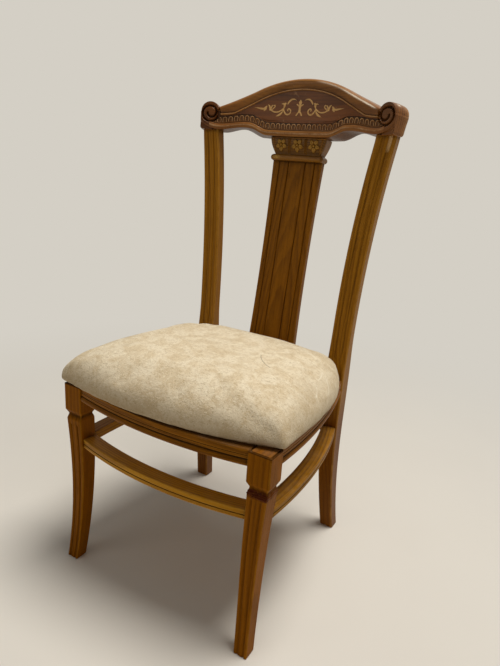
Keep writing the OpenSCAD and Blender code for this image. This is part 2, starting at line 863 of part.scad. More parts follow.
module splat_tenon(play) {
    splat_slab(splat_foot[1] - splat_tongue - play, splat_foot[1] + 4,
        3 - play, splat_t - 3 + play, 8 - play);
    splat_slab(splat_head[1] - 4, splat_head[1] + splat_tongue + play,
        3 - play, splat_t - 3 + play, 8 - play);
}

groove_at = [0.14, 0.33, 0.67, 0.86];
module splat() {
    color("sienna") framed() difference() {
        union() {
            difference() {
                splat_slab(splat_foot[1], splat_head[1] + 6, 0, splat_t, 0);
                crest_frame() translate([-big / 2, -big / 2, splat_head_z]) cube([big, big, big]);
            }
            splat_tenon(0);
        }
        for (at = groove_at) translate([(at - 0.5) * splat_w, 0, 0]) splat_groove();
    }
}

// a V cut that follows the splat's front face
module splat_groove() {
    zs = [splat_foot[1], splat_head[1] + 8];
    for (side = [-1, 1]) intersection() {
        from_side(band([for (z = zs) [splat_y(z) - 1, z]],
            [for (z = zs) [splat_y(z) + groove_deep * (side > 0 ? 1 : 0.5), z]]));
        translate([side > 0 ? -1.2 : -2.4, 0, 0]) cube([side > 0 ? 2.4 : 4.8, big, big]);
    }
}

// ---- shoe: a moulded strip on the rear rail that takes the splat's foot ----
module splat_shoe() {
    half = back_x - stile_w / 2 - 0.3;
    color(leg_color) framed() difference() {
        from_side([[rear_rail_y - rail_t / 2, seat_h], [rear_rail_y + rail_t / 2, seat_h],
            [rear_rail_y + rail_t / 2 - shoe_taper, shoe_top],
            [rear_rail_y - rail_t / 2 + shoe_taper, shoe_top]]);
        both_sides() translate([half, -big / 2, 0]) cube(big);
        both_sides() back_leg_blank();
        splat_tenon(fit);
    }
}

// ---- seat: a plywood board on the rails, and the pad built on it ----
pad_side_n = 18;
pad_front_y = rail_inset - pad_front;
pad_bow = front_bow * 0.8;
pad_back_y = seat_d - knee_d / 2 - pad_gap;
pad_front_half = front_w / 2 + pad_side;
pad_back_half = back_w / 2 - 8;
pad_corner_r = 26;

// half width of the pad's edge at a share t of the way back
function pad_half(t) = lerp(pad_front_half, pad_back_half, t) + side_bow * 4 * t * (1 - t) * 0.8;

// the pad's edge, pulled in all round by a distance, run anticlockwise from the
// front left corner: bowed front, bowed sides and rounded rear corners
function pad_edge(pull) = let (
        fy = pad_front_y + pull,
        by = pad_back_y - pull,
        r = pad_corner_r,
        back_half = pad_half(1) - pull)
    concat(
        [for (x = steps(-1, 1, pad_side_n))
            [x * (pad_front_half - pull), fy - pad_bow * (1 - x * x)]],
        [for (i = [1:pad_side_n]) let (t = i / (pad_side_n + 3))
            [pad_half(t) - pull, lerp(fy, by - r, i / pad_side_n)]],
        [for (a = steps(0, 90, 6)) if (a > 0)
            [back_half - r + r * cos(a), by - r + r * sin(a)]],
        [for (a = steps(90, 180, 6)) if (a < 180)
            [-back_half + r + r * cos(a), by - r + r * sin(a)]],
        [for (i = [pad_side_n:-1:1]) let (t = i / (pad_side_n + 3))
            [-pad_half(t) + pull, lerp(fy, by - r, i / pad_side_n)]]);

board_z = seat_h;
module board_shape(play) {
    translate([0, 0, board_z]) linear_extrude(board_t + play)
        polygon(pad_edge(board_inset - play));
}

module seat_board() {
    color("wheat") framed() difference() {
        board_shape(0);
        both_sides() seat_screw_pair(fit);
        both_sides() back_leg_blank();
    }
}

// the pad is a crowned closed form of stacked rings, pulled in as they rise
pad_low = seat_h + pad_gap;
pad_rings = [[6, 0], [0, 0.14], [0, 0.3], [5, 0.5], [18, 0.72], [42, 0.88], [90, 0.975]];
module pad_blank() {
    rings = [for (r = pad_rings) [for (p = pad_edge(r[0]))
        [p[0], p[1], pad_low + r[1] * (pad_h - pad_gap)]]];
    n = len(rings[0]);
    last = len(rings) - 1;
    crown = [0, lerp(pad_front_y, pad_back_y, 0.5), pad_low + pad_h - pad_gap];
    floor_mid = [crown[0], crown[1], pad_low];
    polyhedron(
        points = concat([for (r = rings) each r], [crown, floor_mid]),
        faces = concat(
            [for (j = [0:last - 1]) for (i = [0:n - 1]) each [
                [j * n + i, (j + 1) * n + i, (j + 1) * n + (i + 1) % n],
                [j * n + i, (j + 1) * n + (i + 1) % n, j * n + (i + 1) % n]]],
            [for (i = [0:n - 1]) [last * n + i, (last + 1) * n, last * n + (i + 1) % n]],
            [for (i = [0:n - 1]) [i, (i + 1) % n, (last + 1) * n + 1]]));
}

module seat_pad() {
    color("wheat") framed() difference() {
        pad_blank();
        board_shape(pad_gap / 2);
    }
}

module corner_block_screws() {
    color("silver") framed() both_sides() corner_screws(0);
}

module seat_screws() {
    color("silver") framed() both_sides() seat_screw_pair(0);
}

// ---- placing ----
// the box runs from the foremost bow or toe to the crest rail's back at its top
front_most = min(rail_inset - front_bow - bead_out, pad_front_y - pad_bow,
    leg_d / 2 - toe_forward - foot_w / 2, front_stretcher_y - front_stretcher_bow);
back_most = crest_y + crest_t * cos(crest_tilt) + crest_rise * sin(crest_tilt);
module framed() {
    translate([0, -(front_most + back_most) / 2, 0]) children();
}

module both_sides() {
    children();
    mirror([1, 0, 0]) children();
}

module left() {
    mirror([1, 0, 0]) children();
}

color(leg_color) framed() left() front_leg_right_shape();  // front_leg_left
color(leg_color) framed() front_leg_right_shape();  // front_leg_right
color(leg_color) framed() left() back_leg_right_shape();  // back_leg_left
color(leg_color) framed() back_leg_right_shape();  // back_leg_right
front_seat_rail();
color(leg_color) framed() left() side_seat_rail_shape();  // side_seat_rail_left
color(leg_color) framed() side_seat_rail_shape();  // side_seat_rail_right
rear_seat_rail();
front_stretcher();
color(leg_color) framed() left() side_stretcher_shape();  // side_stretcher_left
color(leg_color) framed() side_stretcher_shape();  // side_stretcher_right
rear_stretcher();
crest_rail();
crest_inlay();
splat_capital();
splat();
splat_shoe();
color("tan") framed() left() corner_front_shape();  // corner_block_front_left
color("tan") framed() corner_front_shape();  // corner_block_front_right
color("tan") framed() left() corner_rear_shape();  // corner_block_rear_left
color("tan") framed() corner_rear_shape();  // corner_block_rear_right
corner_block_screws();
crest_dowels();
seat_board();
seat_screws();
seat_pad();
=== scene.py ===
"""Carved dining chair with a bowed seat frame, a fluted splat, a scrolled crest rail
and a loose, soiled velvet pad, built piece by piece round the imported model.

Shapes are worked out in millimetres in the maker's frame: X across, Y from the front
legs' front face to the back, Z up from the floor. lay() turns them into metres in the
shared frame.
"""

import math

import bmesh
import bpy
import numpy as np
from mathutils import Matrix, Vector


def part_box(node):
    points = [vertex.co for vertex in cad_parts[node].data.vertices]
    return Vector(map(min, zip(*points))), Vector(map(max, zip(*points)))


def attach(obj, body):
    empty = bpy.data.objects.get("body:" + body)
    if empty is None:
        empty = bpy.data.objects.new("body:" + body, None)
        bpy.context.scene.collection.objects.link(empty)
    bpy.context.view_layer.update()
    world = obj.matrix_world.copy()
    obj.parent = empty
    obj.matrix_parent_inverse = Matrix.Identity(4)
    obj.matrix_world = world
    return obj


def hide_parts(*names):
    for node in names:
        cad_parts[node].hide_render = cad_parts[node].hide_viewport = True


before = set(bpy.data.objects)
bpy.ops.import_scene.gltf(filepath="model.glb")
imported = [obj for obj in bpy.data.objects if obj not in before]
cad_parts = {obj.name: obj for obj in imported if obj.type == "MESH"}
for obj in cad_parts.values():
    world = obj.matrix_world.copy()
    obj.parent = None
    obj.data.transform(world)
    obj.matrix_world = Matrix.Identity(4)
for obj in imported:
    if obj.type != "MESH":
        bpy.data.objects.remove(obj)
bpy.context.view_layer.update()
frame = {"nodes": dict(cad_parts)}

# ---- Viewpoint and studio ----
# A camera at a standing person's chest, a pale floor that runs on as a backdrop, one
# wide soft lamp overhead and to the right, and a weak one from the front.
azimuth, elevation, roll = (math.radians(a) for a in (30.48, 17.25, 4.03))
back_way = np.array([math.sin(azimuth) * math.cos(elevation),
                     -math.cos(azimuth) * math.cos(elevation), math.sin(elevation)])
level_right = np.array([math.cos(azimuth), math.sin(azimuth), 0.0])
level_up = np.cross(back_way, level_right)
cam_right = math.cos(roll) * level_right + math.sin(roll) * level_up
cam_up = -math.sin(roll) * level_right + math.cos(roll) * level_up

# the front legs' blocks are 42 mm deep, so their back face gives the frame's shift
LEG_D = 42.0
shift_y = LEG_D / 1000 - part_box("front_leg_right")[1].y

cam_data = bpy.data.cameras.new("camera")
cam_data.sensor_width = 36
cam_data.lens = 29.19
camera = bpy.data.objects.new("camera", cam_data)
bpy.context.scene.collection.objects.link(camera)
eye = (0.5933, -0.6893 - shift_y, 0.8604)
camera.matrix_world = Matrix([
    [cam_right[0], cam_up[0], back_way[0], eye[0]],
    [cam_right[1], cam_up[1], back_way[1], eye[1]],
    [cam_right[2], cam_up[2], back_way[2], eye[2]],
    [0, 0, 0, 1]])
bpy.context.scene.camera = camera
bpy.context.scene.view_settings.view_transform = "Standard"


def srgb(red, green, blue):
    """A colour written 0 to 255 as seen, as the linear one that shaders use: each
    share is raised to the display's power curve."""
    share = np.array([red, green, blue], float) / 255
    lin = np.where(share <= 0.04045, share / 12.92, ((share + 0.055) / 1.055) ** 2.4)
    return (*lin.tolist(), 1.0)


def feed(tree, node, sockets):
    """Sets a node's inputs by name or number, each to a value or to the output that
    feeds it."""
    for key, value in sockets.items():
        if isinstance(value, bpy.types.NodeSocket):
            tree.links.new(value, node.inputs[key])
        else:
            node.inputs[key].default_value = value


def shader(tree, kind, sockets=None, **settings):
    """Adds one node with its settings, and feeds its inputs."""
    made = tree.nodes.new(kind)
    for key, value in settings.items():
        setattr(made, key, value)
    feed(tree, made, sockets or {})
    return made


def new_finish(name):
    """A new material, its tree, its main shader and the place on the object."""
    made = bpy.data.materials.new(name)
    made.use_nodes = True
    tree = made.node_tree
    place = shader(tree, "ShaderNodeTexCoord").outputs["Object"]
    return made, tree, tree.nodes["Principled BSDF"], place


def maths(tree, operation, a, b=0.0, c=0.0, clamp=False):
    """One sum of two or three values, and its result."""
    return shader(tree, "ShaderNodeMath", {0: a, 1: b, 2: c},
                  operation=operation, use_clamp=clamp).outputs[0]


def times(tree, a, b, clamp=False):
    """One value times another."""
    return maths(tree, "MULTIPLY", a, b, clamp=clamp)


def ramp(tree, value, low, high, to_low=0.0, to_high=1.0):
    """The value spread smoothly from [low, high] to [to_low, to_high]."""
    return shader(tree, "ShaderNodeMapRange", {
        "Value": value, "From Min": low, "From Max": high,
        "To Min": to_low, "To Max": to_high}, interpolation_type="SMOOTHSTEP").outputs[0]


def blend(tree, share, a, b, kind="MIX"):
    """Two colours mixed by a share."""
    return shader(tree, "ShaderNodeMix", {0: share, 6: a, 7: b},
                  data_type="RGBA", blend_type=kind).outputs[2]


def clouds(tree, where, scale, stretch=(1, 1, 1), detail=3.0, rough=0.5, bend=0.0):
    """Soft noise of so many spots a metre, stretched along the axes."""
    placed = shader(tree, "ShaderNodeMapping", {"Vector": where, "Scale": stretch})
    return shader(tree, "ShaderNodeTexNoise", {
        "Vector": placed.outputs[0], "Scale": scale, "Detail": detail,
        "Roughness": rough, "Distortion": bend}).outputs[0]


def lamp(name, size, power, place, aim, colour):
    """A round soft lamp at a place, turned towards its aim."""
    data = bpy.data.lights.new(name, "AREA")
    data.shape, data.size, data.energy, data.color = "DISK", size, power, colour
    made = bpy.data.objects.new(name, data)
    bpy.context.scene.collection.objects.link(made)
    way = Vector(aim) - Vector(place)
    made.location = place
    made.rotation_euler = way.to_track_quat("-Z", "Y").to_euler()


lamp("overhead", 2.0, 165, (0.9, 0.5, 4.4), (0, 0, 0.4), (1.0, 0.97, 0.92))
lamp("front_fill", 1.8, 6, (-1.2, -2.4, 1.6), (0, 0, 0.5), (1.0, 0.98, 0.95))

# seen straight or in a gloss, the far floor and the world are one pale tone
PALE = srgb(212, 207, 197)


def seen_rays(tree):
    """1 for what the camera sees straight, in a gloss or through glass, else 0."""
    rays = shader(tree, "ShaderNodeLightPath").outputs
    total = maths(tree, "ADD", rays["Is Camera Ray"], rays["Is Glossy Ray"])
    return maths(tree, "ADD", total, rays["Is Transmission Ray"], clamp=True)


world = bpy.data.worlds.new("studio")
bpy.context.scene.world = world
world.use_nodes = True
sky = world.node_tree
sky.nodes.clear()
glow = shader(sky, "ShaderNodeBackground", {"Color": (0.86, 0.84, 0.80, 1), "Strength": 0.18})
wall = shader(sky, "ShaderNodeBackground", {"Color": PALE, "Strength": 1.0})
both = shader(sky, "ShaderNodeMixShader",
              {0: seen_rays(sky), 1: glow.outputs[0], 2: wall.outputs[0]})
shader(sky, "ShaderNodeOutputWorld", {0: both.outputs[0]})

floor_mesh = bpy.data.meshes.new("floor")
FLOOR_HALF = 30
floor_mesh.from_pydata([(x * FLOOR_HALF, y * FLOOR_HALF, 0) for x, y in ((-1, -1), (1, -1), (1, 1), (-1, 1))],
                       [], [(0, 1, 2, 3)])
floor = bpy.data.objects.new("floor", floor_mesh)
bpy.context.scene.collection.objects.link(floor)
floor_paint, tree, paint, where = new_finish("floor_paint")
feed(tree, paint, {
    "Roughness": 0.8,
    "Base Color": blend(tree, clouds(tree, where, 3.0), srgb(228, 223, 213), srgb(222, 216, 206))})
reach = shader(tree, "ShaderNodeVectorMath", {0: where}, operation="LENGTH").outputs[1]
far = times(tree, ramp(tree, reach, 0.35, 1.9), seen_rays(tree))
haze = shader(tree, "ShaderNodeEmission", {"Color": PALE, "Strength": 1.0})
floor_look = shader(tree, "ShaderNodeMixShader", {0: far, 1: paint.outputs[0], 2: haze.outputs[0]})
tree.links.new(floor_look.outputs[0], tree.nodes["Material Output"].inputs[0])
floor.data.materials.append(floor_paint)

# ---- Front legs ----
# Each is one length of beech: a square block that takes the rails, a notch cut round
# the neck, and a lower leg that sweeps forward and tapers, with two flutes in front.
# The right one has been mended at the neck with dark, lumpy glue.
SIDES = ((-1, "left"), (1, "right"))
FRONT_W, BLOCK_W, BLOCK_H = 490.0, 46.0, 58.0
SEAT_H = 410.0
NECK_IN, NECK_H = 5.2, 10.0
LOWER_W, FOOT_W = 40.0, 28.0
TOE, WAIST = 22.0, 6.0
leg_x = FRONT_W / 2 - BLOCK_W / 2
block_z = SEAT_H - BLOCK_H
neck_z = block_z - NECK_H
lip_z = neck_z - NECK_H


def soften(curve, reach):
    """The same curve with its corners rounded: the mean of nine samples spread over
    the reach on both sides."""
    spread = np.linspace(-reach, reach, 9)
    return lambda z: np.mean([curve(z + s) for s in spread], axis=0)


def lower_share(z):
    """Share of the way up the lower leg."""
    return np.clip(z / lip_z, 0, 1)


def front_leg_mid(z):
    """Centre of the leg across and in depth: a parabola pulls the lower leg inward,
    and a power curve sweeps the foot forward."""
    t = lower_share(z)
    return (leg_x - WAIST * 4 * t * (1 - t), LEG_D / 2 - TOE * (1 - t) ** 2.5)


def front_leg_half(z, block_half):
    """Half width of the leg: a tapering lower leg, then the notch, then the block."""
    t = lower_share(z)
    low = (FOOT_W + (LOWER_W - FOOT_W) * t ** 1.4) / 2
    up = np.interp(z, [lip_z, neck_z, block_z, block_z + 1],
                   [LOWER_W / 2, block_half - NECK_IN, block_half, block_half])
    return np.where(z < lip_z, low, up)


def square_columns(side_n, corner_n, front_n=None):
    """The columns of a square section, run round it once from the left end of its
    front. Each column has a place on the core (kx, ky), an outward way (nx, ny) and a
    run q from -1 to 1 along its side, which is 2 on the rounded corners."""
    kx, ky, nx, ny, run = [], [], [], [], []
    for n, t in (((0, -1), (1, 0)), ((1, 0), (0, 1)), ((0, 1), (-1, 0)), ((-1, 0), (0, -1))):
        count = front_n if front_n and n == (0, -1) else side_n
        q = np.linspace(-1, 1, count + 1)
        kx.append(n[0] + t[0] * q)
        ky.append(n[1] + t[1] * q)
        nx.append(np.full(q.size, n[0]))
        ny.append(np.full(q.size, n[1]))
        run.append(q)
        a = np.linspace(0, math.pi / 2, corner_n + 2)[1:-1]
        kx.append(np.full(a.size, n[0] + t[0]))
        ky.append(np.full(a.size, n[1] + t[1]))
        nx.append(n[0] * np.cos(a) + t[0] * np.sin(a))
        ny.append(n[1] * np.cos(a) + t[1] * np.sin(a))
        run.append(np.full(a.size, 2.0))
    return [np.concatenate(v) for v in (kx, ky, nx, ny, run)]


def square_post(rows, mid_x, mid_y, half_x, half_y, corner, columns, carve=None):
    """A bar of square section that stands on end. A point is the core's place plus the
    corner radius along the outward way, less what carve(x, z) takes off the front.
    Returns points, fibre coordinates and how near each point is to a corner."""
    kx, ky, nx, ny, run = columns
    mid_x, mid_y, half_x, half_y, corner = (
        np.broadcast_to(np.asarray(v, float), rows.shape)[:, None]
        for v in (mid_x, mid_y, half_x, half_y, corner))
    x = (half_x - corner) * kx + corner * nx
    y = (half_y - corner) * ky + corner * ny
    if carve is not None:
        facing = (np.abs(ny + 1) < 1e-6) & (run < 1.5)
        y = y + np.where(facing, carve(x, rows[:, None] + 0 * x), 0)
    z = np.repeat(rows[:, None], kx.size, axis=1)
    side_half = np.where(np.abs(nx) > np.abs(ny), half_y, half_x)
    away = np.where(run > 1.5, 0, (side_half - corner) * (1 - np.abs(run)))
    edge = np.exp(-away / 1.8)
    fibre = np.stack([x, y, z], -1)
    return np.stack([mid_x + x, mid_y + y, z], -1), fibre, edge


def tube_faces(rows, cols, first=0):
    """Quads of a tube of so many rows, whose last column joins its first, and a cap
    at each end."""
    i, j = np.meshgrid(np.arange(rows - 1), np.arange(cols), indexing="ij")
    k = (j + 1) % cols
    quads = np.stack([i * cols + j, i * cols + k, (i + 1) * cols + k, (i + 1) * cols + j], -1)
    caps = [list(range(first, first + cols))[::-1],
            list(range(first + (rows - 1) * cols, first + rows * cols))]
    return (quads.reshape(-1, 4) + first).tolist() + caps


def lay(name, points, faces, fibre, edge, grain_from, hollow=None, scar=None, sharp=38,
        tone=None):
    """Makes the mesh of a piece from points in the maker's frame, joins doubles, turns
    its faces outward, and stores what the finishes need: where each point lies along
    the fibre (from its own spot in the tree), edge wear with its painted highlights,
    grime with its painted shade, scars with their painted glints, and the tone."""
    flat = points.reshape(-1, 3) / 1000 - np.array([0, shift_y, 0])
    mesh = bpy.data.meshes.new(name)
    mesh.from_pydata(flat.tolist(), [], faces)
    along = fibre.reshape(-1, 3) / 1000 + np.asarray(grain_from, float)
    mesh.attributes.new("fibre", "FLOAT_VECTOR", "POINT").data.foreach_set(
        "vector", along.astype(np.float32).ravel())
    for key, value in (("edge", edge), ("hollow", hollow), ("scar", scar), ("tone", tone)):
        spread = np.zeros(len(flat)) if value is None else np.asarray(value, float).ravel()
        mesh.attributes.new(key, "FLOAT", "POINT").data.foreach_set(
            "value", spread.astype(np.float32))
    work = bmesh.new()
    work.from_mesh(mesh)
    bmesh.ops.remove_doubles(work, verts=work.verts, dist=1e-6)
    bmesh.ops.recalc_face_normals(work, faces=work.faces)
    work.to_mesh(mesh)
    work.free()
    mesh.polygons.foreach_set("use_smooth", [True] * len(mesh.polygons))
    mesh.set_sharp_from_angle(angle=math.radians(sharp))
    made = bpy.data.objects.new(name, mesh)
    bpy.context.scene.collection.objects.link(made)
    return made


def finish_piece(piece, finish, slot, *nodes):
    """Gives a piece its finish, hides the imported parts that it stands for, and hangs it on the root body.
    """
    piece.data.materials.clear()
    piece.data.materials.append(finish)
    if nodes:
        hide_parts(*nodes)
    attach(piece, "root")


def hash_noise(x, y, seed):
    """Smooth bumps from -1 to 1 with no grid: the sum of crossed sine waves whose
    directions and phases come from a seeded draw."""
    draw = np.random.default_rng(seed)
    total = np.zeros(np.broadcast(x, y).shape)
    for _ in range(7):
        turn, phase, pace = draw.uniform(0, 2 * math.pi, 2).tolist() + [draw.uniform(0.6, 1.6)]
        total = total + np.sin((x * math.cos(turn) + y * math.sin(turn)) * pace + phase)
    return total / 7 ** 0.5 / 1.4


def new_group(name, inputs, outputs):
    """An empty node group with named inputs and outputs, and its two end nodes."""
    group = bpy.data.node_groups.new(name, "ShaderNodeTree")
    kinds = {"v": "NodeSocketVector", "c": "NodeSocketColor", "f": "NodeSocketFloat"}
    for way, names in (("INPUT", inputs), ("OUTPUT", outputs)):
        for text in names:
            kind, label = text.split(":")
            group.interface.new_socket(name=label, in_out=way, socket_type=kinds[kind])
    return group, group.nodes.new("NodeGroupInput"), group.nodes.new("NodeGroupOutput")


# Growth rings are shells round the tree's heart: their number is the distance from the
# heart line, spread by the trunk's taper and bent by slow noise. Pores are fine noise
# drawn out along the fibre.
g, g_in, g_out = new_group(
    "growth rings and pores",
    ["v:Fibre", "v:Heart", "f:Rings", "f:Taper", "f:Waver", "c:Pale", "c:Dark", "f:Contrast"],
    ["c:Color", "f:Height", "f:Gloss"])
grain_group = g
slow = clouds(g, g_in.outputs["Fibre"], 1.0, (16, 16, 2.6), 3.0)
from_heart = shader(g, "ShaderNodeVectorMath", {
    0: shader(g, "ShaderNodeVectorMath", {0: g_in.outputs["Fibre"], 1: g_in.outputs["Heart"]},
              operation="SUBTRACT").outputs[0],
    1: (1, 1, 0)}, operation="MULTIPLY")
reach = shader(g, "ShaderNodeVectorMath", {0: from_heart.outputs[0]}, operation="LENGTH").outputs[1]
height_up = shader(g, "ShaderNodeSeparateXYZ", {0: g_in.outputs["Fibre"]}).outputs[2]
reach = maths(g, "MULTIPLY_ADD", height_up, g_in.outputs["Taper"], reach)
reach = maths(g, "MULTIPLY_ADD", slow, g_in.outputs["Waver"], reach)
count = times(g, reach, g_in.outputs["Rings"])
part_ring = maths(g, "FRACT", count)
late = times(g, ramp(g, part_ring, 0.25, 0.86),
             ramp(g, part_ring, 0.88, 1.0, 1.0, 0.0))
streak = clouds(g, g_in.outputs["Fibre"], 1.0, (330, 330, 7), 4.0, 0.62)
streak = ramp(g, streak, 0.30, 0.72)
broad = clouds(g, g_in.outputs["Fibre"], 1.0, (22, 22, 2.2), 2.0)
pores = clouds(g, g_in.outputs["Fibre"], 1.0, (1500, 1500, 60), 2.0, 0.5)
pores = ramp(g, pores, 0.60, 0.70)
share = maths(g, "MULTIPLY_ADD", late, 0.42, times(g, streak, 0.38))
share = maths(g, "MULTIPLY_ADD", ramp(g, broad, 0.25, 0.75), 0.34, share)
share = times(g, share, g_in.outputs["Contrast"], clamp=True)
stain = blend(g, share, g_in.outputs["Pale"], g_in.outputs["Dark"])
stain = blend(g, times(g, pores, 0.45), stain, (0.012, 0.005, 0.002, 1))
feed(g, g_out, {
    "Color": stain,
    "Height": maths(g, "MULTIPLY_ADD", pores, -0.8, times(g, streak, 0.35)),
    "Gloss": maths(g, "MULTIPLY_ADD", pores, 0.25, times(g, streak, 0.06))})

# Use rubs the lacquer off corners, and the paler edges also stand as painted highlights. Black polish, dust
# and painted shade darken the hollows.
# Both follow the piece's own edge and hollow values, broken up by noise.
w, w_in, w_out = new_group(
    "rubbed edges and grimy_and_shaded hollows",
    ["c:Color", "v:Place", "f:Edge", "f:Hollow", "f:Scar", "f:Tone", "c:Rubbed", "c:Scarred",
     "c:Second", "f:Amount"],
    ["c:Color", "f:Height", "f:Rough"])
wear_group = w
patchy = clouds(w, w_in.outputs["Place"], 38, (1, 1, 1), 4.0, 0.6)
fine = clouds(w, w_in.outputs["Place"], 420, (1, 1, 1), 3.0, 0.6)
both_noise = maths(w, "MULTIPLY_ADD", fine, 0.35, times(w, patchy, 0.75))
# paler rubbed edges: wear, and painted highlights where the edge value runs high, as on the crest's beads
rub_and_glint = maths(w, "ADD", w_in.outputs["Edge"], both_noise)
rub_and_glint = times(w, ramp(w, rub_and_glint, 1.25, 1.75), w_in.outputs["Amount"])
# hollows darken with grime and painted shade
grime_and_shade = times(w, w_in.outputs["Hollow"], ramp(w, patchy, 0.2, 0.7, 0.62, 1.0))
toned = blend(w, w_in.outputs["Tone"], w_in.outputs["Color"], w_in.outputs["Second"], "MULTIPLY")
grimed_and_shaded = blend(w, times(w, grime_and_shade, 0.82), toned, (0.010, 0.005, 0.002, 1))
rubbed_and_lit = blend(w, rub_and_glint, grimed_and_shaded, w_in.outputs["Rubbed"])
# scars, and painted glints where a piece's scar colour is near white
torn_and_glint = times(w, w_in.outputs["Scar"], ramp(w, fine, 0.30, 0.55, 0.55, 1.0))
marks_and_painted_light = blend(w, torn_and_glint, rubbed_and_lit, w_in.outputs["Scarred"])
# thin handling scratches: a few long, bent threads of noise
scratch = clouds(w, w_in.outputs["Place"], 1.0, (26, 210, 18), 2.0, 0.4, 0.6)
scratch = times(w, ramp(w, scratch, 0.485, 0.5), ramp(w, scratch, 0.5, 0.515, 1.0, 0.0))
scratch = times(w, scratch, ramp(w, patchy, 0.55, 0.75))
marks_and_painted_light = blend(w, times(w, scratch, 0.35), marks_and_painted_light, w_in.outputs["Rubbed"])
# house dust lies on what faces up
facing_up = shader(w, "ShaderNodeSeparateXYZ",
                   {0: shader(w, "ShaderNodeNewGeometry").outputs["Normal"]}).outputs[2]
dust = times(w, ramp(w, facing_up, 0.75, 1.0), ramp(w, both_noise, 0.35, 0.75))
marks_and_painted_light = blend(w, times(w, dust, 0.10), marks_and_painted_light, srgb(176, 164, 146))
rough = maths(w, "MULTIPLY_ADD", rub_and_glint, 0.20, times(w, grime_and_shade, 0.25))
rough = maths(w, "MULTIPLY_ADD", dust, 0.14, rough)
feed(w, w_out, {
    "Color": marks_and_painted_light,
    "Height": maths(w, "MULTIPLY_ADD", torn_and_glint, times(w, fine, 2.0),
                    times(w, maths(w, "ADD", rub_and_glint, scratch), -0.5)),
    "Rough": maths(w, "MULTIPLY_ADD", patchy, 0.10, rough)})


def timber(name, pale, dark, rubbed_and_lit, rough=0.38, coat=0.03, heart=(0.05, 0.09, 0),
           rings=210.0, taper=0.015, waver=0.02, contrast=1.0, fibre=None,
           scarred=(0.03, 0.006, 0.004, 1), second=(0.7, 0.5, 0.5, 1), amount=0.5,
           bump=0.00008, gloss=0.17):
    """Stained and lacquered wood. fibre is None where the piece stores its own fibre
    coordinates, or the turn in degrees that brings the piece's length onto Z."""
    made, t, shell, place = new_finish(name)
    if fibre is None:
        along = shader(t, "ShaderNodeAttribute", attribute_name="fibre").outputs["Vector"]
    else:
        along = shader(t, "ShaderNodeMapping", {
            "Vector": place, "Rotation": tuple(math.radians(a) for a in fibre)}).outputs[0]
    grain = shader(t, "ShaderNodeGroup", {
        "Fibre": along, "Heart": heart, "Rings": rings, "Taper": taper, "Waver": waver,
        "Pale": pale, "Dark": dark, "Contrast": contrast}, node_tree=grain_group)
    stored = {key.title(): shader(t, "ShaderNodeAttribute", attribute_name=key).outputs["Fac"]
              for key in ("edge", "hollow", "scar", "tone")}
    worn = shader(t, "ShaderNodeGroup", {
        "Color": grain.outputs["Color"], "Place": place, **stored, "Rubbed": rubbed_and_lit,
        "Scarred": scarred, "Second": second, "Amount": amount}, node_tree=wear_group)
    raised = maths(t, "ADD", grain.outputs["Height"], worn.outputs["Height"])
    total = maths(t, "ADD", grain.outputs["Gloss"], worn.outputs["Rough"])
    feed(t, shell, {
        "Base Color": worn.outputs["Color"],
        "Roughness": maths(t, "ADD", total, rough - 0.05, clamp=True),
        "Normal": shader(t, "ShaderNodeBump", {
            "Height": raised, "Distance": bump, "Strength": 1.0}).outputs[0],
        "Coat Weight": coat, "Coat Roughness": 0.22, "Specular IOR Level": gloss,
        "Specular Tint": (1.0, 0.62, 0.25, 1)})
    return made


leg_finish = timber("leg_lacquer", srgb(150, 89, 0), srgb(94, 50, 0), srgb(172, 118, 34),
                    scarred=srgb(74, 26, 16), rings=95, contrast=0.75, coat=0.0,
                    rough=0.46, gloss=0.07)
leg_columns = square_columns(16, 5, 44)


def flute(x, at, width, deep):
    """A round-bottomed groove: a cosine hollow centred at a place across the face."""
    t = np.clip(np.abs(x - at) / (width / 2), 0, 1)
    return deep * 0.5 * (1 + np.cos(math.pi * t))


def bell(off, width):
    """1 where off is 0, dying away on both sides as exp(-(off / width)²)."""
    return np.exp(-(off / width) ** 2)


FLUTE_W, FLUTE_DEEP = 6.4, 1.8
flute_top = lip_z - 9


def front_leg_carve(x, z):
    """Two flutes run from a rounded start under the lip down to the foot."""
    half = front_leg_half(z, BLOCK_W / 2)
    start = np.clip((flute_top - z) / 5, 0, 1) ** 0.5
    return sum(flute(x, s * half / 2.2, FLUTE_W, FLUTE_DEEP) for s in (-1, 1)) * start


leg_rows = np.concatenate([
    [0, 0.7, 2], np.linspace(5, 300, 50), np.linspace(303, 366, 90), np.linspace(370, 404, 8),
    [407.4, 408.0], [409.6, 410, 410, 408.0, 408.0, 410, 410]])
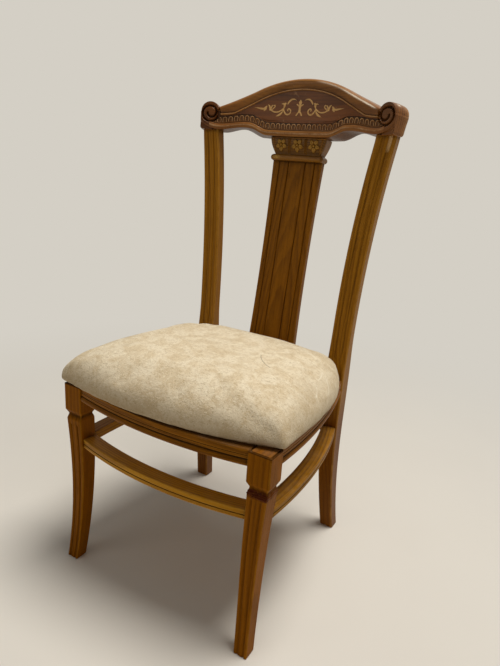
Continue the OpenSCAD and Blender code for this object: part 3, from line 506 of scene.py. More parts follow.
# how far the last rows draw in: a scored line runs round the block's top
draw_in = np.concatenate([[2.0, 0.8, 0], np.zeros(151), [0.5, 1.0, 1.5, 2.0, 4.4, 5.0]])
half_x = soften(lambda z: front_leg_half(z, BLOCK_W / 2), 1.6)(leg_rows)
half_y = soften(lambda z: front_leg_half(z, LEG_D / 2), 1.6)(leg_rows)
mid_x, mid_y = front_leg_mid(leg_rows)
for side, label in SIDES:
    points, fibre, edge = square_post(leg_rows, mid_x, mid_y, half_x - draw_in,
                                      half_y - draw_in, 2.2, leg_columns, front_leg_carve)
    z = points[..., 2]
    near_neck = bell(z - neck_z, 5.0)
    turn = np.arctan2(fibre[..., 1], fibre[..., 0])
    # the notch round the neck and the flutes are darkened: grime and painted shade
    hollow = np.clip(near_neck * 0.9, 0, 1)
    flutes = front_leg_carve(fibre[..., 0], z) / FLUTE_DEEP
    hollow = np.maximum(hollow, np.where(fibre[..., 1] < -half_y[:, None] + 3, flutes * 0.55, 0))
    edge = np.maximum(edge, bell(z - lip_z, 2.2) * 0.85)
    edge = np.maximum(edge, bell(z - block_z, 1.6) * 0.6)
    scar = None
    if side > 0:
        # ragged, lumpy glue runs round the mended neck
        ragged = hash_noise(turn * 5, z * 0.25, 5)
        band = np.clip(1.25 - np.abs(z - (lip_z + 1) - 2 * ragged) / 8.5, 0, 1)
        scar = np.clip(band * 1.7 - 0.3, 0, 1) * np.where(fibre[..., 1] < -14, 1, 0.55)
        lumps = scar * (0.7 * np.sin(z * 1.5 + 2.5 * ragged) + 0.6 * hash_noise(turn * 12, z * 0.7, 8))
        core = np.stack([fibre[..., 0], fibre[..., 1]], -1)
        core /= np.linalg.norm(core, axis=-1, keepdims=True)
        points[..., :2] += core * lumps[..., None]
        hollow *= 0.6
    # painted shade in the scored line darkens the block's top edge, and a little of its top
    hollow[-8:-1], hollow[-1] = 1.0, 0.30
    edge[-9:] = 0
    points[..., 0] *= side
    leg = lay(f"front_leg_{label}_carved", points, tube_faces(*edge.shape), fibre, edge,
              (0.3 * side, 0.1, 0.4), hollow, scar)
    finish_piece(leg, leg_finish, "frame_wood", f"front_leg_{label}")

# ---- Back legs ----
# Each is sawn in one piece from the foot to the crest rail. Below the seat it kicks
# back and outward; above it, the stile flares, rakes back and is reeded in front.
BACK_W, SEAT_D = 410.0, 415.0
BACK_H = 931.0
STILE_W, STILE_D, KNEE_D = 44.0, 25.0, 38.0
BACK_FOOT_W, BACK_FOOT_D = 33.0, 30.0
FOOT_SPLAY, FOOT_KICK = 12.0, 33.0
FLARE, RAKE = 34.0, 32.0
CREST_TILT = math.radians(7)
back_x = BACK_W / 2 - STILE_W / 2


def ease(t):
    """The smooth step 3t² - 2t³, with t held between 0 and 1."""
    t = np.clip(t, 0, 1)
    return t * t * (3 - 2 * t)


def stile_x(z):
    """Centre across: a square law splays the foot, and a power law flares the top."""
    return (back_x + FOOT_SPLAY * (1 - np.clip(z / (SEAT_H - 110), 0, 1)) ** 2
            + FLARE * np.clip((z - SEAT_H) / (BACK_H - SEAT_H), 0, 2) ** 2.3)


def stile_y(z):
    """Centre in depth: a square law kicks the foot back, a power law rakes the top."""
    return (SEAT_D + FOOT_KICK * (1 - np.clip(z / (SEAT_H - 60), 0, 1)) ** 2
            + RAKE * np.clip((z - SEAT_H) / (BACK_H - SEAT_H), 0, 2) ** 1.3)


def stile_half_w(z):
    """Half width: a smooth step from the foot up to the seat."""
    return (BACK_FOOT_W + (STILE_W - BACK_FOOT_W) * ease(z / SEAT_H)) / 2


def stile_half_d(z):
    """Half depth: a smooth step up to the knee at the seat, and one down above it."""
    low = BACK_FOOT_D + (KNEE_D - BACK_FOOT_D) * ease(z / (SEAT_H - 60))
    up = KNEE_D + (STILE_D - KNEE_D) * ease((z - SEAT_H) / 110)
    return np.where(z < SEAT_H, low, up) / 2


REED_FLUTE_W, REED_FLUTE_DEEP = 5.6, 1.7


def stile_carve(x, z):
    """Two flutes leave three slightly rounded reeds; they start over the seat and
    stop short of the crest rail."""
    on = ease((z - SEAT_H - 38) / 14) * ease((BACK_H + 2 - z) / 5)
    cut = sum(flute(x, s * STILE_W / 5.6, REED_FLUTE_W, REED_FLUTE_DEEP) for s in (-1, 1))
    reed = 0.7 * (1 - np.cos(2 * math.pi * np.clip(x / (STILE_W / 2.7), -1.5, 1.5)))
    return on * (cut + 0.25 * reed)


crest_mid_y = float(stile_y(BACK_H))
stile_finish = timber("stile_lacquer", srgb(172, 116, 26), srgb(108, 64, 5), srgb(184, 134, 62),
                      rings=230, heart=(0.02, 0.12, 0), contrast=0.85, scarred=srgb(206, 168, 116),
                      second=(0.56, 0.42, 0.2, 1))
post_rows = np.concatenate([[0, 0.7, 2], np.linspace(6, 404, 44), np.linspace(412, 920, 84),
                            np.linspace(922, 932, 6)])
post_columns = square_columns(14, 5, 56)
for side, label in SIDES:
    ends = np.interp(post_rows, [0, 2], [2.0, 0])
    points, fibre, edge = square_post(
        post_rows, stile_x(post_rows), stile_y(post_rows), stile_half_w(post_rows) - ends,
        stile_half_d(post_rows) - ends, 3.2, post_columns, stile_carve)
    z = post_rows[:, None] + 0 * edge
    # the top is cut square to the crest rail and runs a little way into it
    into = ease((z - 915) / 17) * ((crest_mid_y - points[..., 1]) * math.tan(CREST_TILT) + 3)
    points[..., 2] += into
    carved = stile_carve(fibre[..., 0], z)
    facing = fibre[..., 1] < 0
    # the flutes, and the top just under the crest rail, are darkened: grime and painted shade
    hollow = np.where(facing, np.clip(carved / REED_FLUTE_DEEP, 0, 1) * 0.28, 0)
    hollow = np.maximum(hollow, 0.8 * bell(z - 930, 4))
    scar = None
    if side > 0:
        # a pale patch under the crest rail: a chip that has bared the wood, and a painted highlight
        chip_and_glint = (ease((4.4 - np.abs(fibre[..., 0] - 10)) / 1.6) * ease((z - 903) / 9)
                * ease((932 - z) / 3))
        bared_and_glint = chip_and_glint * 1.3 + 0.3 * hash_noise(z * 0.3, fibre[..., 0], 3) * chip_and_glint
        scar = np.where(facing, np.clip(bared_and_glint, 0, 1), 0)
        points[..., 1] += scar * 0.9
    points[..., 0] *= side
    # below the seat the second tone darkens the stile: painted shade under the seat
    post = lay(f"back_leg_{label}_reeded", points, tube_faces(*edge.shape), fibre, edge,
               (0.25 * side, 0.6, 0.1), hollow, scar, 38, ease((400 - z) / 130))
    finish_piece(post, stile_finish, "frame_wood", f"back_leg_{label}")

# ---- Seat rails ----
# The front and side rails are bowed and moulded: a flat band, a groove and a bead.
# The straight rear rail is plain. All four are tenoned into the legs.
RAIL_H, RAIL_T, RAIL_IN = 31.0, 24.0, 3.0
FRONT_BOW, SIDE_BOW = 22.0, 15.0
rail_z = SEAT_H - RAIL_H


def arc_path(start, end, bow, count, over):
    """Points and outward ways of the arc from start to end that bows to the right of
    its way, run on by over at each end. The radius is (c²/4 + b²) / 2b."""
    start, end = np.asarray(start, float), np.asarray(end, float)
    chord = np.linalg.norm(end - start)
    way = (end - start) / chord
    out = np.array([way[1], -way[0]])
    if bow == 0:
        s = np.linspace(-over, chord + over, count)[:, None]
        return start + way * s, np.repeat(out[None], count, 0), s[:, 0]
    radius = (chord ** 2 / 4 + bow ** 2) / (2 * bow)
    half = math.asin(min(1, (chord / 2 + over) / radius))
    a = np.linspace(-half, half, count)
    centre = (start + end) / 2 + out * (bow - radius)
    ways = out * np.cos(a)[:, None] + way * np.sin(a)[:, None]
    return centre + radius * ways, ways, radius * a


def bar(start, end, bow, low, profile, edge_of, hollow_of, count=72, over=3.0, scar_of=None):
    """A bar whose closed profile of (outward, up) points is carried along the arc.
    Each point is the path's point plus the outward share of the profile."""
    path, ways, length = arc_path(start, end, bow, count, over)
    out, up = profile[:, 0], profile[:, 1]
    xy = path[:, None, :] + ways[:, None, :] * out[None, :, None]
    z = np.repeat(low + up[None, :], count, 0)
    points = np.concatenate([xy, z[..., None]], -1)
    run = np.repeat(length[:, None], out.size, 1)
    fibre = np.stack([0 * run + out, 0 * run + up, run], -1)
    edge = np.repeat(edge_of[None, :], count, 0)
    hollow = np.repeat(hollow_of[None, :], count, 0)
    # darker where the bar meets the legs: polish, dust and painted shade in the joint
    corner = np.exp(-(np.abs(length).max() - over - np.abs(length)) / 3.0).clip(0, 1)
    hollow = np.maximum(hollow, 0.75 * corner[:, None])
    scar = None if scar_of is None else scar_of(run, out[None, :] + 0 * run, up[None, :] + 0 * run)
    return points, tube_faces(*points.shape[:2]), fibre, edge, hollow, scar


def lay_bar(name, node, made, finish, grain_from, side=1, sharp=32):
    """Lays a bar and gives it its finish. The left one of a pair is mirrored."""
    points, faces, fibre, edge, hollow, scar = made
    piece = lay(name, points * (side, 1, 1), faces, fibre, edge, grain_from, hollow, scar, sharp)
    finish_piece(piece, finish, "frame_wood", node)


def profile_round(corners, radii, steps=5, most=3.0):
    """A closed profile from corner points, each rounded by its radius with an arc
    that is bent like a quadratic curve; long sides are split to at most a length."""
    pts, sharp = [], []
    n = len(corners)
    corners = np.asarray(corners, float)
    for i in range(n):
        a, b, c = corners[i - 1], corners[i], corners[(i + 1) % n]
        u, v = a - b, c - b
        r = min(radii[i], np.linalg.norm(u) / 2.05, np.linalg.norm(v) / 2.05)
        if r <= 0:
            pts.append(b)
            sharp.append(0.6)
            continue
        p, q = b + u / np.linalg.norm(u) * r, b + v / np.linalg.norm(v) * r
        for t in np.linspace(0, 1, steps):
            pts.append((1 - t) ** 2 * p + 2 * t * (1 - t) * b + t * t * q)
            sharp.append(1.0)
    pts, sharp = np.array(pts), np.array(sharp)
    out_p, out_s = [], []
    for i in range(len(pts)):
        p, q = pts[i], pts[(i + 1) % len(pts)]
        cut = max(1, int(np.ceil(np.linalg.norm(q - p) / most)))
        for k in range(cut):
            t = k / cut
            out_p.append(p + (q - p) * t)
            run = np.linalg.norm(q - p)
            after = sharp[(i + 1) % len(pts)]
            out_s.append(max(sharp[i] * math.exp(-run * t / 2.5),
                             after * math.exp(-run * (1 - t) / 2.5)))
    return np.array(out_p), np.array(out_s)


# band, groove and bead, drawn from the bottom inside corner anticlockwise
bead_arc = [(-3 + 5 * math.cos(a), 6 + 6 * math.sin(a)) for a in np.radians(np.linspace(-80, 72, 9))]
rail_corners = ([(-RAIL_T, 0), (-4.5, 0)] + bead_arc + [(-3.0, 12.4), (-2.4, 13.6), (0, 14.4),
                (0, 19.5), (-1.0, 20.3), (0, 21.1), (0, RAIL_H), (-RAIL_T, RAIL_H)])
rail_radii = [1.5, 1.0] + [0.4] * len(bead_arc) + [0.3, 0.3, 0.9, 0.4, 0.2, 0.4, 1.8, 1.2]
rail_profile, rail_edge = profile_round(rail_corners, rail_radii, 5, 3.0)
rail_front = rail_profile[:, 0] > -6
rail_edge = np.where((np.abs(rail_profile[:, 1] - 6) < 5) & rail_front, 0.55, rail_edge)
# the groove and the fine line are darkened: grime and painted shade
rail_hollow = np.where(rail_front & (np.abs(rail_profile[:, 1] - 13) < 1.6), 0.9, 0)
fine_line = rail_front & (np.abs(rail_profile[:, 1] - 20.3) < 0.8)
rail_hollow = np.maximum(rail_hollow, np.where(fine_line, 0.8, 0))
# what faces the pad is darker and duller: painted shade under the pad
rail_hollow = np.maximum(rail_hollow, np.where(rail_profile[:, 1] > RAIL_H - 0.6, 0.55, 0))
rail_edge = rail_edge * (rail_hollow < 0.3)

front_rail_x = leg_x - BLOCK_W / 2
rail_finish = timber("rail_lacquer", srgb(150, 92, 6), srgb(84, 45, 0), srgb(170, 116, 42),
                     rough=0.44, gloss=0.10, rings=200, heart=(-0.09, 0.04, 0))
made = bar((-front_rail_x, RAIL_IN), (front_rail_x, RAIL_IN), FRONT_BOW, rail_z,
           rail_profile, rail_edge, rail_hollow, 96)
lay_bar("front_seat_rail_moulded", "front_seat_rail", made, rail_finish, (0.4, 0.2, 0.5))

side_start = (FRONT_W / 2 - RAIL_IN, LEG_D)
side_end = (BACK_W / 2 - RAIL_IN, SEAT_D - KNEE_D / 2)
for side, label in SIDES:
    made = bar(side_start, side_end, SIDE_BOW, rail_z, rail_profile, rail_edge, rail_hollow, 84)
    lay_bar(f"side_seat_rail_{label}_moulded", f"side_seat_rail_{label}", made, rail_finish,
            (0.15 * side, 0.7, 0.3), side)

REAR_RAIL_H = 45.0
rear_rail_y = SEAT_D + (KNEE_D - RAIL_T) / 2
plank_profile, plank_edge = profile_round(
    [(-RAIL_T / 2, 0), (RAIL_T / 2, 0), (RAIL_T / 2, REAR_RAIL_H), (-RAIL_T / 2, REAR_RAIL_H)],
    [1.5] * 4)
stile_in = back_x - STILE_W / 2
made = bar((-stile_in, rear_rail_y), (stile_in, rear_rail_y), 0, SEAT_H - REAR_RAIL_H,
           plank_profile, plank_edge, 0 * plank_edge, 48, 1.5)
lay_bar("rear_seat_rail_plain", "rear_seat_rail", made, rail_finish, (0.8, 0.2, 0.1), sharp=38)

# ---- Stretchers ----
# A bowed board runs between the front legs and one on each side, all with a flat top
# and a grooved outer edge. A straight one joins the back legs.
STRETCHER_Z, STRETCHER_H, STRETCHER_D = 272.0, 20.0, 32.0
mid_z = STRETCHER_Z + STRETCHER_H / 2
board_profile, board_edge = profile_round(
    [(-STRETCHER_D, 0), (0, 0), (0, 7.4), (-1.8, 9.0), (0, 10.6), (0, STRETCHER_H),
     (-STRETCHER_D, STRETCHER_H)], [1.5, 2.6, 0.6, 0.4, 0.6, 2.6, 1.5], 5, 2.5)
# the groove is darkened: grime and painted shade
board_hollow = np.where((np.abs(board_profile[:, 1] - 9) < 1.4) & (board_profile[:, 0] > -3), 0.95, 0)
board_edge = board_edge * (board_hollow < 0.3)
stretcher_finish = timber("stretcher_lacquer", srgb(166, 113, 12), srgb(104, 62, 3),
                          srgb(178, 126, 50), rough=0.44, gloss=0.10, rings=180,
                          heart=(-0.02, 0.11, 0))

leg_mid = front_leg_mid(np.array([mid_z]))
lower_half = float(front_leg_half(np.array([mid_z]), BLOCK_W / 2)[0])
inner_x = float(leg_mid[0][0]) - lower_half
inner_y = float(leg_mid[1][0]) - lower_half + 5
FRONT_BOARD_BOW, SIDE_BOARD_BOW = 25, 17
made = bar((-inner_x, inner_y), (inner_x, inner_y), FRONT_BOARD_BOW, STRETCHER_Z,
           board_profile, board_edge, board_hollow, 96, 2.0)
# a brighter copy of the stretcher lacquer: painted light on the front stretcher, which lies in the seat's
# shadow
lit_front_stretcher = timber("front_stretcher_lacquer_lit", srgb(204, 144, 22), srgb(136, 84, 8),
                        srgb(198, 146, 64), rings=180, heart=(-0.02, 0.11, 0))
lay_bar("front_stretcher_bowed", "front_stretcher", made, lit_front_stretcher, (0.9, 0.1, 0.7))

side_low = (inner_x + 2 * lower_half - 1, float(leg_mid[1][0]) + lower_half)
side_high = (float(stile_x(mid_z) + stile_half_w(mid_z)) - 3,
             float(stile_y(mid_z) - stile_half_d(np.array(mid_z))))


def knot_spots(run, out, up):
    """Three small dark knots and plugged nail holes along the right side stretcher."""
    spots = ((-70, 14, 2.6), (40, 16, 2.0), (128, 13, 3.0))
    near = sum(np.exp(-(((run - a) / r) ** 2 + ((up - b) / r) ** 2)) for a, b, r in spots)
    return near.clip(0, 1) * (out > -4)


for side, label in SIDES:
    made = bar(side_low, side_high, SIDE_BOARD_BOW, STRETCHER_Z, board_profile, board_edge,
               board_hollow, 110, 2.0, knot_spots if side > 0 else None)
    lay_bar(f"side_stretcher_{label}_bowed", f"side_stretcher_{label}", made, stretcher_finish,
            (0.33 * side, 0.5, 0.9), side)

REAR_STRETCHER_D = 24.0
rear_y = float(stile_y(mid_z))
rear_x = float(stile_x(mid_z) - stile_half_w(mid_z))
slat_profile, slat_edge = profile_round(
    [(-REAR_STRETCHER_D / 2, 0), (REAR_STRETCHER_D / 2, 0), (REAR_STRETCHER_D / 2, STRETCHER_H),
     (-REAR_STRETCHER_D / 2, STRETCHER_H)], [2.2] * 4)
made = bar((-rear_x, rear_y), (rear_x, rear_y), 0, STRETCHER_Z, slat_profile, slat_edge,
           0 * slat_edge, 48, 1.5)
lay_bar("rear_stretcher_straight", "rear_stretcher", made, stretcher_finish, (0.6, 0.4, 0.2),
        sharp=38)

# ---- Crest rail ----
# Sawn from a thick plank to a hollow curve, then carved: a broad roll along the arched
# top, a thin bead under it, a sunk panel, a row of tongues, and a cock bead that ends
# in a scroll over each stile. The dark stain is red-brown.
CREST_T, CREST_SAG, CREST_RISE = 42.0, 42.0, 122.0
CREST_FORWARD = 2.0
ARCH_R, ARCH_HALF = 238.0, 115.0
SCROLL_R, SCROLL_Z, SCROLL_BACK = 24.0, 43.0, 42.5
SPLAT_W = 126.0
crest_half = float(stile_x(BACK_H)) - 2
crest_r = (crest_half ** 2 + CREST_SAG ** 2) / (2 * CREST_SAG)
mid_r = crest_r + CREST_T / 2
crest_y = (crest_mid_y + mid_r - math.sqrt(mid_r ** 2 - crest_half ** 2)
           - CREST_T / 2 - CREST_FORWARD)


def tilted(x, y, z):
    """The point whose depth y and height z lie along the crest rail's backward tilt."""
    c, s = math.cos(CREST_TILT), math.sin(CREST_TILT)
    return np.stack(np.broadcast_arrays(x, crest_y + y * c + z * s, BACK_H - y * s + z * c), -1)


def crest_place(x, deep, z):
    """A point of the crest rail from its place across the hollow front face, how deep
    it lies under that face and its height: the front is a cylinder of the crest's
    radius, the depth runs along its radius, and the whole is tilted back."""
    a = np.arcsin(np.clip(x / crest_r, -1, 1))
    return tilted((crest_r + deep) * np.sin(a), (crest_r + deep) * np.cos(a) - crest_r, z)


scroll_join = crest_half - SCROLL_R * math.cos(math.radians(28))
join_z = SCROLL_Z + SCROLL_R * math.sin(math.radians(28))
arch_z = CREST_RISE - ARCH_R + math.sqrt(ARCH_R ** 2 - ARCH_HALF ** 2)
flat_half = SPLAT_W / 2 + 31
stile_edge = crest_half - STILE_W / 2 - 4
cusp_x = flat_half + (crest_half - STILE_W / 2 - flat_half) * 0.47


def crest_top(x):
    """The arch of one radius, run out on a straight line to the scroll."""
    x = np.abs(x)
    out = arch_z + (join_z - arch_z) * (x - ARCH_HALF) / (scroll_join - ARCH_HALF)
    arch = CREST_RISE - ARCH_R + np.sqrt(np.maximum(ARCH_R ** 2 - x * x, 0))
    return np.where(x < ARCH_HALF, arch, out)


def crest_low(x):
    """Flat over the capital, a smooth rise on each side, and down to the stile."""
    x = np.abs(x)
    rise = -4 + 16 * ease((x - flat_half) / (cusp_x - flat_half))
    fall = 12 - 12 * ease((x - cusp_x) / (stile_edge - cusp_x))
    return np.where(x < cusp_x, rise, fall)


BEAD_H = 13.0
TONGUE_H, TONGUE_PITCH = 12.4, 12.9
MOULD = 24.0
VOLUTE_Z = 38.0
EYE_X, EYE_Z = 3.6, 0.6
GROOVE_HALF, WRAP_HALF = 2.1, 6.4


def thin_down(x, z):
    """Share of the thickness left: over each stile it tapers, from the scroll's middle
    down to the stile's own depth."""
    return 1 - 0.17 * ease((np.abs(x) - 172) / 26) * np.clip((40 - z) / 40, 0, 1)


def bead_low(x):
    """Lower edge of the cock bead on the front: it rises sooner than the back edge,
    dips again, and lifts once more to pass under the scroll."""
    x = np.abs(x)
    return (-3.5 + 13.5 * ease((x - 76) / 46) - 8.6 * ease((x - 130) / 66)
            + 6 * ease((x - 196) / 36))


def thin_bead(x):
    """Height of the thin bead under the top roll: it drops away from the top edge as a
    square law, then levels out before the scroll."""
    free = crest_top(x) - MOULD - 3 * (x / 112) ** 2
    return 32 + np.logaddexp(0, (free - 32) / 2.5) * 2.5


def tongue_relief(x, up):
    """How far the carved tongues stand up: an upside-down U of a raised rim round a
    small hollow, from the distance to the tongue's middle line."""
    across = ((x / TONGUE_PITCH + 0.5) % 1 - 0.5) * TONGUE_PITCH
    over = np.maximum(up - (TONGUE_H - 5.8), 0)
    far = np.sqrt(across ** 2 + over ** 2)
    body = ease((6.0 - far) / 1.1)
    dish = ease((3.7 - far) / 1.3) * ease((up + 0.5) / 1.5)
    return body * 2.5 - dish * 1.9


def crest_section(x):
    """One row of profile points for each place across: (deep, height, edge, hollow,
    tone). Starts at the lower front edge, runs up the front, over the top and down
    the back."""
    low, top = bead_low(x)[:, None], crest_top(x)[:, None]
    back_low, zero = crest_low(x)[:, None], 0 * low
    # the stain was laid on darker towards the scrolls
    ends = ease((np.abs(x)[:, None] - 70) / 120)

    def rows_of(deep, height, edge=0.0, hollow=0.0, tone=0.0):
        return np.broadcast_arrays(*(np.asarray(v) + zero for v in (deep, height, edge, hollow, tone)))

    # edge values paint highlights on the beads and tongue rims, with wear; hollow values paint shade in the
    # quirks, between the tongues and along the panel's edges, with grime
    # cock bead: a half round that stands proud
    t = np.linspace(0, math.pi, 15)
    bead = rows_of(1.6 - 4.6 * np.sin(t), low + BEAD_H / 2 * (1 - np.cos(t)),
                   0.95 * np.sin(t) ** 4, 0.55 * np.cos(t) ** 8, 0.25 + 0.45 * ends)
    # quirk and fillet, then the sunk band with tongues
    quirk = rows_of([3.2, 3.2, 1.6, 1.4, 1.6, 3.4],
                    low + BEAD_H + np.array([0.2, 0.8, 1.1, 2.0, 2.9, 3.2]),
                    [0, 0, 0.4, 0.6, 0.4, 0], [1, 1, 0.3, 0, 0.3, 1], 0.5)
    up = np.linspace(0, TONGUE_H + 1.4, 26)
    raised = tongue_relief(x[:, None], up)
    band = rows_of(4.6 - raised, low + BEAD_H + 3.4 + up, np.clip(raised / 2.5, 0, 1) * 1.02,
                   np.clip(1 - raised * 0.5, 0, 1), 0.55)
    # panel up to the thin bead; away from the middle it narrows to nothing
    start = low + BEAD_H + 3.4 + TONGUE_H + 1.7
    stop = np.maximum(thin_bead(x)[:, None] - 2.4, start + 1.2)
    share = np.linspace(0, 1, 24)
    inner = start + (stop - start) * share
    border = bell(inner - start - 2.2, 0.9) * ease((96 - np.abs(x)[:, None]) / 6)
    panel = rows_of(2.3 + 0.9 * border, inner,
                    0, np.maximum(border * 0.8, 0.8 * np.exp(-(stop - inner) / 1.6)), 1.0)
    # thin bead, quirk and broad roll over the top
    s = np.linspace(0, math.pi, 8)
    thin = rows_of(2.0 - 2.6 * np.sin(s), stop + 0.5 + 1.9 * (1 - np.cos(s)), 1.05 * np.sin(s) ** 2)
    q = np.linspace(0, 1, 26)
    start = stop + 5.0
    roll = rows_of(1.4 - 4.4 * np.sin(np.minimum(q * 1.9, 1) * math.pi / 2) + 17 * q ** 3.4,
                   start + (top - start) * np.sin(q * math.pi / 2) ** 0.92,
                   0.35 * bell(q - 0.55, 0.25), 0.9 * np.exp(-q / 0.05), 0.6 * ends)
    tail = rows_of([22, 30, 36, 39, 40.8, CREST_T, CREST_T],
                   top + np.array([0.3, 0.3, 0.1, -0.6, -2.2, -5, -9]),
                   [0.1, 0.2, 0.4, 0.6, 0.7, 0.4, 0.1], 0.5, 0.5)
    back = np.linspace(0.03, 0.97, 16)
    rear = rows_of(CREST_T, top - 9 + (back_low + 14 - top) * back)
    # the underside is darkened by its hollow value: painted shade under the rail
    under_deep = np.array([CREST_T, 41, 38.8, 30, 20, 10, 4])
    under = rows_of(under_deep, low + (back_low - low) * (under_deep - 2) / 40
                    + np.array([3.5, 1.2, 0, 0, 0, 0, 0.4]),
                    [0.3, 0.6, 0.4, 0, 0, 0, 0.1], 0.65, 0.8)
    run = (bead, quirk, band, panel, thin, roll, tail, rear, under)
    return [np.concatenate(parts, 1) for parts in zip(*run)]


across = np.linspace(-214.5, 214.5, 640)
deep, height, edge, hollow, tone = crest_section(across)
# the front sinks behind each scroll, and the ends thin down to the stiles
x = np.abs(across[:, None])
from_eye = np.hypot(x - crest_half + EYE_X, height - VOLUTE_Z + EYE_Z)
deep = deep + np.where(deep < 10, 8 * ease((20 - from_eye) / 2), 0)
deep = deep * thin_down(x, height)
x = across[:, None] + 0 * deep
points = crest_place(x, deep, height)
fibre = np.stack([height, deep, x], -1)
# along the top edge, right of the middle, a near-white streak: lacquer worn through, and a painted highlight
scar = (bell(crest_top(across)[:, None] - height - 6.5, 1.6) * (deep < 6)
        * (0.45 * ease((x - 24) / 30) + 0.55 * ease((x - 84) / 30)) * ease((192 - x) / 12)
        * np.clip(0.85 + 0.5 * hash_noise(x * 0.14, deep * 0.5, 7), 0, 1))
# the rubbed colour on the beads and tongue rims, and the near-white scar colour, are partly painted
# highlights
crest_finish = timber("crest_lacquer", srgb(170, 114, 48), srgb(102, 60, 22), srgb(202, 158, 112),
                      rough=0.30, coat=0.3, amount=0.8, scarred=srgb(250, 232, 208),
                      second=(0.48, 0.33, 0.27, 1), rings=170, heart=(0.10, 0.05, 0), contrast=0.95)
rail = lay("crest_rail_carved", points, tube_faces(*deep.shape), fibre, edge, (0.1, 0.9, 0.4),
           hollow, scar, 30, tone)
finish_piece(rail, crest_finish, "carved_wood", "crest_rail")


# the spiral groove from its inner end outward, clockwise: (turns, radius)
GROOVE = np.array([(0, 9.2), (0.09, 10.4), (0.25, 10.3), (0.53, 10.8), (0.67, 12.6), (0.81, 14.4),
                   (0.90, 17.4), (1.0, 20.8), (1.06, 22.2), (1.12, 22.4), (1.25, 20.4), (1.45, 17.0)])


def volute(x, z):
    """A spiral groove cut round a broad eye, with the cock bead coming up from below
    and wrapping over it. Gives how high the carving stands and how deep in a groove the
    place is, from 0 to 1; below on the left the scroll gives way to the rail."""
    ex, ez = x + EYE_X, z + EYE_Z
    rho = np.hypot(ex, ez)
    turns = (0.028 - np.arctan2(ez, ex) / (2 * math.pi)) % 1
    groove = 0 * rho
    for lap in (0, 1):
        at = np.interp(turns + lap, GROOVE[:, 0], GROOVE[:, 1])
        cut = bell(rho - at, GROOVE_HALF) * np.clip((turns + lap) / 0.05, 0, 1)
        groove = np.maximum(groove, np.where(turns + lap < GROOVE[-1, 0], cut, 0))
    bearing = np.degrees(np.arctan2(z, x))
    mid = np.interp(bearing, [-94, -58, -24, 1, 40], [27.3, 24.6, 24.6, 25.5, 32])
    off = np.where(x < 0, np.where(z < -19, np.abs(z + 27.4), 0), np.hypot(x, z) - mid) / WRAP_HALF
    high = np.sqrt(1 - np.clip(off, 0, 1) ** 2) * (1 - groove)
    limit = np.interp(turns, [0.24, 0.28, 0.54, 0.60, 0.62], [60, 19.8, 13.6, 13.6, 60])
    gone = (rho > limit) & ~((z < -19) & (x > -9))
    return high, groove, gone


# the end of the rail: a roll as thick as the rail, with the volute on its front face
turn_n, ring_n, back_n = 200, 64, 7
turn = np.linspace(0, 2 * math.pi, turn_n, endpoint=False)
cx, cz = np.cos(turn), np.sin(turn)
# reach from the volute's centre to the outline: a circle above, whose own centre lies
# higher, and below it straight sides down to the stile's width
rise, roll_r = 1.8, 22.4
to_base = VOLUTE_Z / np.maximum(-cz, 1e-6)
to_side = (23.5 - 2 * np.clip(-cz / 0.865, 0, 1)) / np.maximum(np.abs(cx), 1e-6)
circle = rise * cz + np.sqrt(roll_r ** 2 - (rise * cx) ** 2)
outline = np.where(cz < 0, np.minimum(to_base, to_side), np.minimum(circle, to_side))
ring = np.concatenate([outline] * 3)
outline = np.mean([ring[turn_n + k:2 * turn_n + k] for k in (-2, -1, 0, 1, 2)], axis=0)[None]
share = np.linspace(0.01, 1, ring_n)[:, None]
rho = outline * share
lx, lz = rho * cx[None], rho * cz[None]
high, low_spot, gone = volute(lx, lz)
edge_fade = ease((outline - rho) / 1.4 + 0.15)
front_d = 4.2 - 6.6 * high * edge_fade
front_d = np.where(gone, 7.0, front_d)
rim = np.array([[4.6, -0.15], [7, 0.2], [12, 0.5], [18, 0.7], [24, 0.7], [31, 0.5], [37, 0.1],
                [40.9, -1.0], [42.2, -3.0]])
rim_edge = np.array([0.5, 0.2, 0.1, 0.1, 0.1, 0.2, 0.5, 0.9, 0.6])
back_share = np.linspace(0.85, 0.05, back_n)[:, None]
rho_all = np.concatenate([rho, outline + rim[:, 1:], outline * back_share], 0)
d_all = np.concatenate([front_d, rim[:, :1] + 0 * outline, np.full((back_n, turn_n), SCROLL_BACK)], 0)
e_all = np.concatenate([0.35 * high ** 2, rim_edge[:, None] + 0 * outline,
                        np.zeros((back_n, turn_n))], 0)
# the darker stain of the front fades towards the back
fade = np.concatenate([np.clip((36 - rim[:, :1]) / 14, 0, 1), np.zeros((back_n, 1))], 0) + 0 * outline
# the groove, and the front as a whole, are darkened by the hollow value: grime and painted shade
h_all = np.concatenate([0.3 + low_spot * 0.7, 0.12 * fade], 0)
t_all = np.concatenate([0.75 + 0.2 * low_spot, 0.6 * fade], 0)
# painted highlights along the right scroll's rolled top, carried by the scar colour
worn_top_glint = (bell(d_all - 5, 3) * bell(turn[None] - 1.5, 0.16)
            + bell(d_all - 12, 4) * bell(turn[None] - 0.85, 0.12))
worn_top_glint = 0.8 * worn_top_glint * (rho_all > outline - 1.5)
lx, lz = rho_all * cx[None], np.maximum(VOLUTE_Z + rho_all * cz[None], -0.5)
d_all = d_all * thin_down(crest_half + lx, lz)
faces = tube_faces(*rho_all.shape)
a0 = math.asin(crest_half / crest_r)
# square to the curved face at the scroll's centre
px = (crest_r + d_all) * math.sin(a0) + lx * math.cos(a0)
py = (crest_r + d_all) * math.cos(a0) - lx * math.sin(a0) - crest_r
right_end = tilted(px, py, lz)
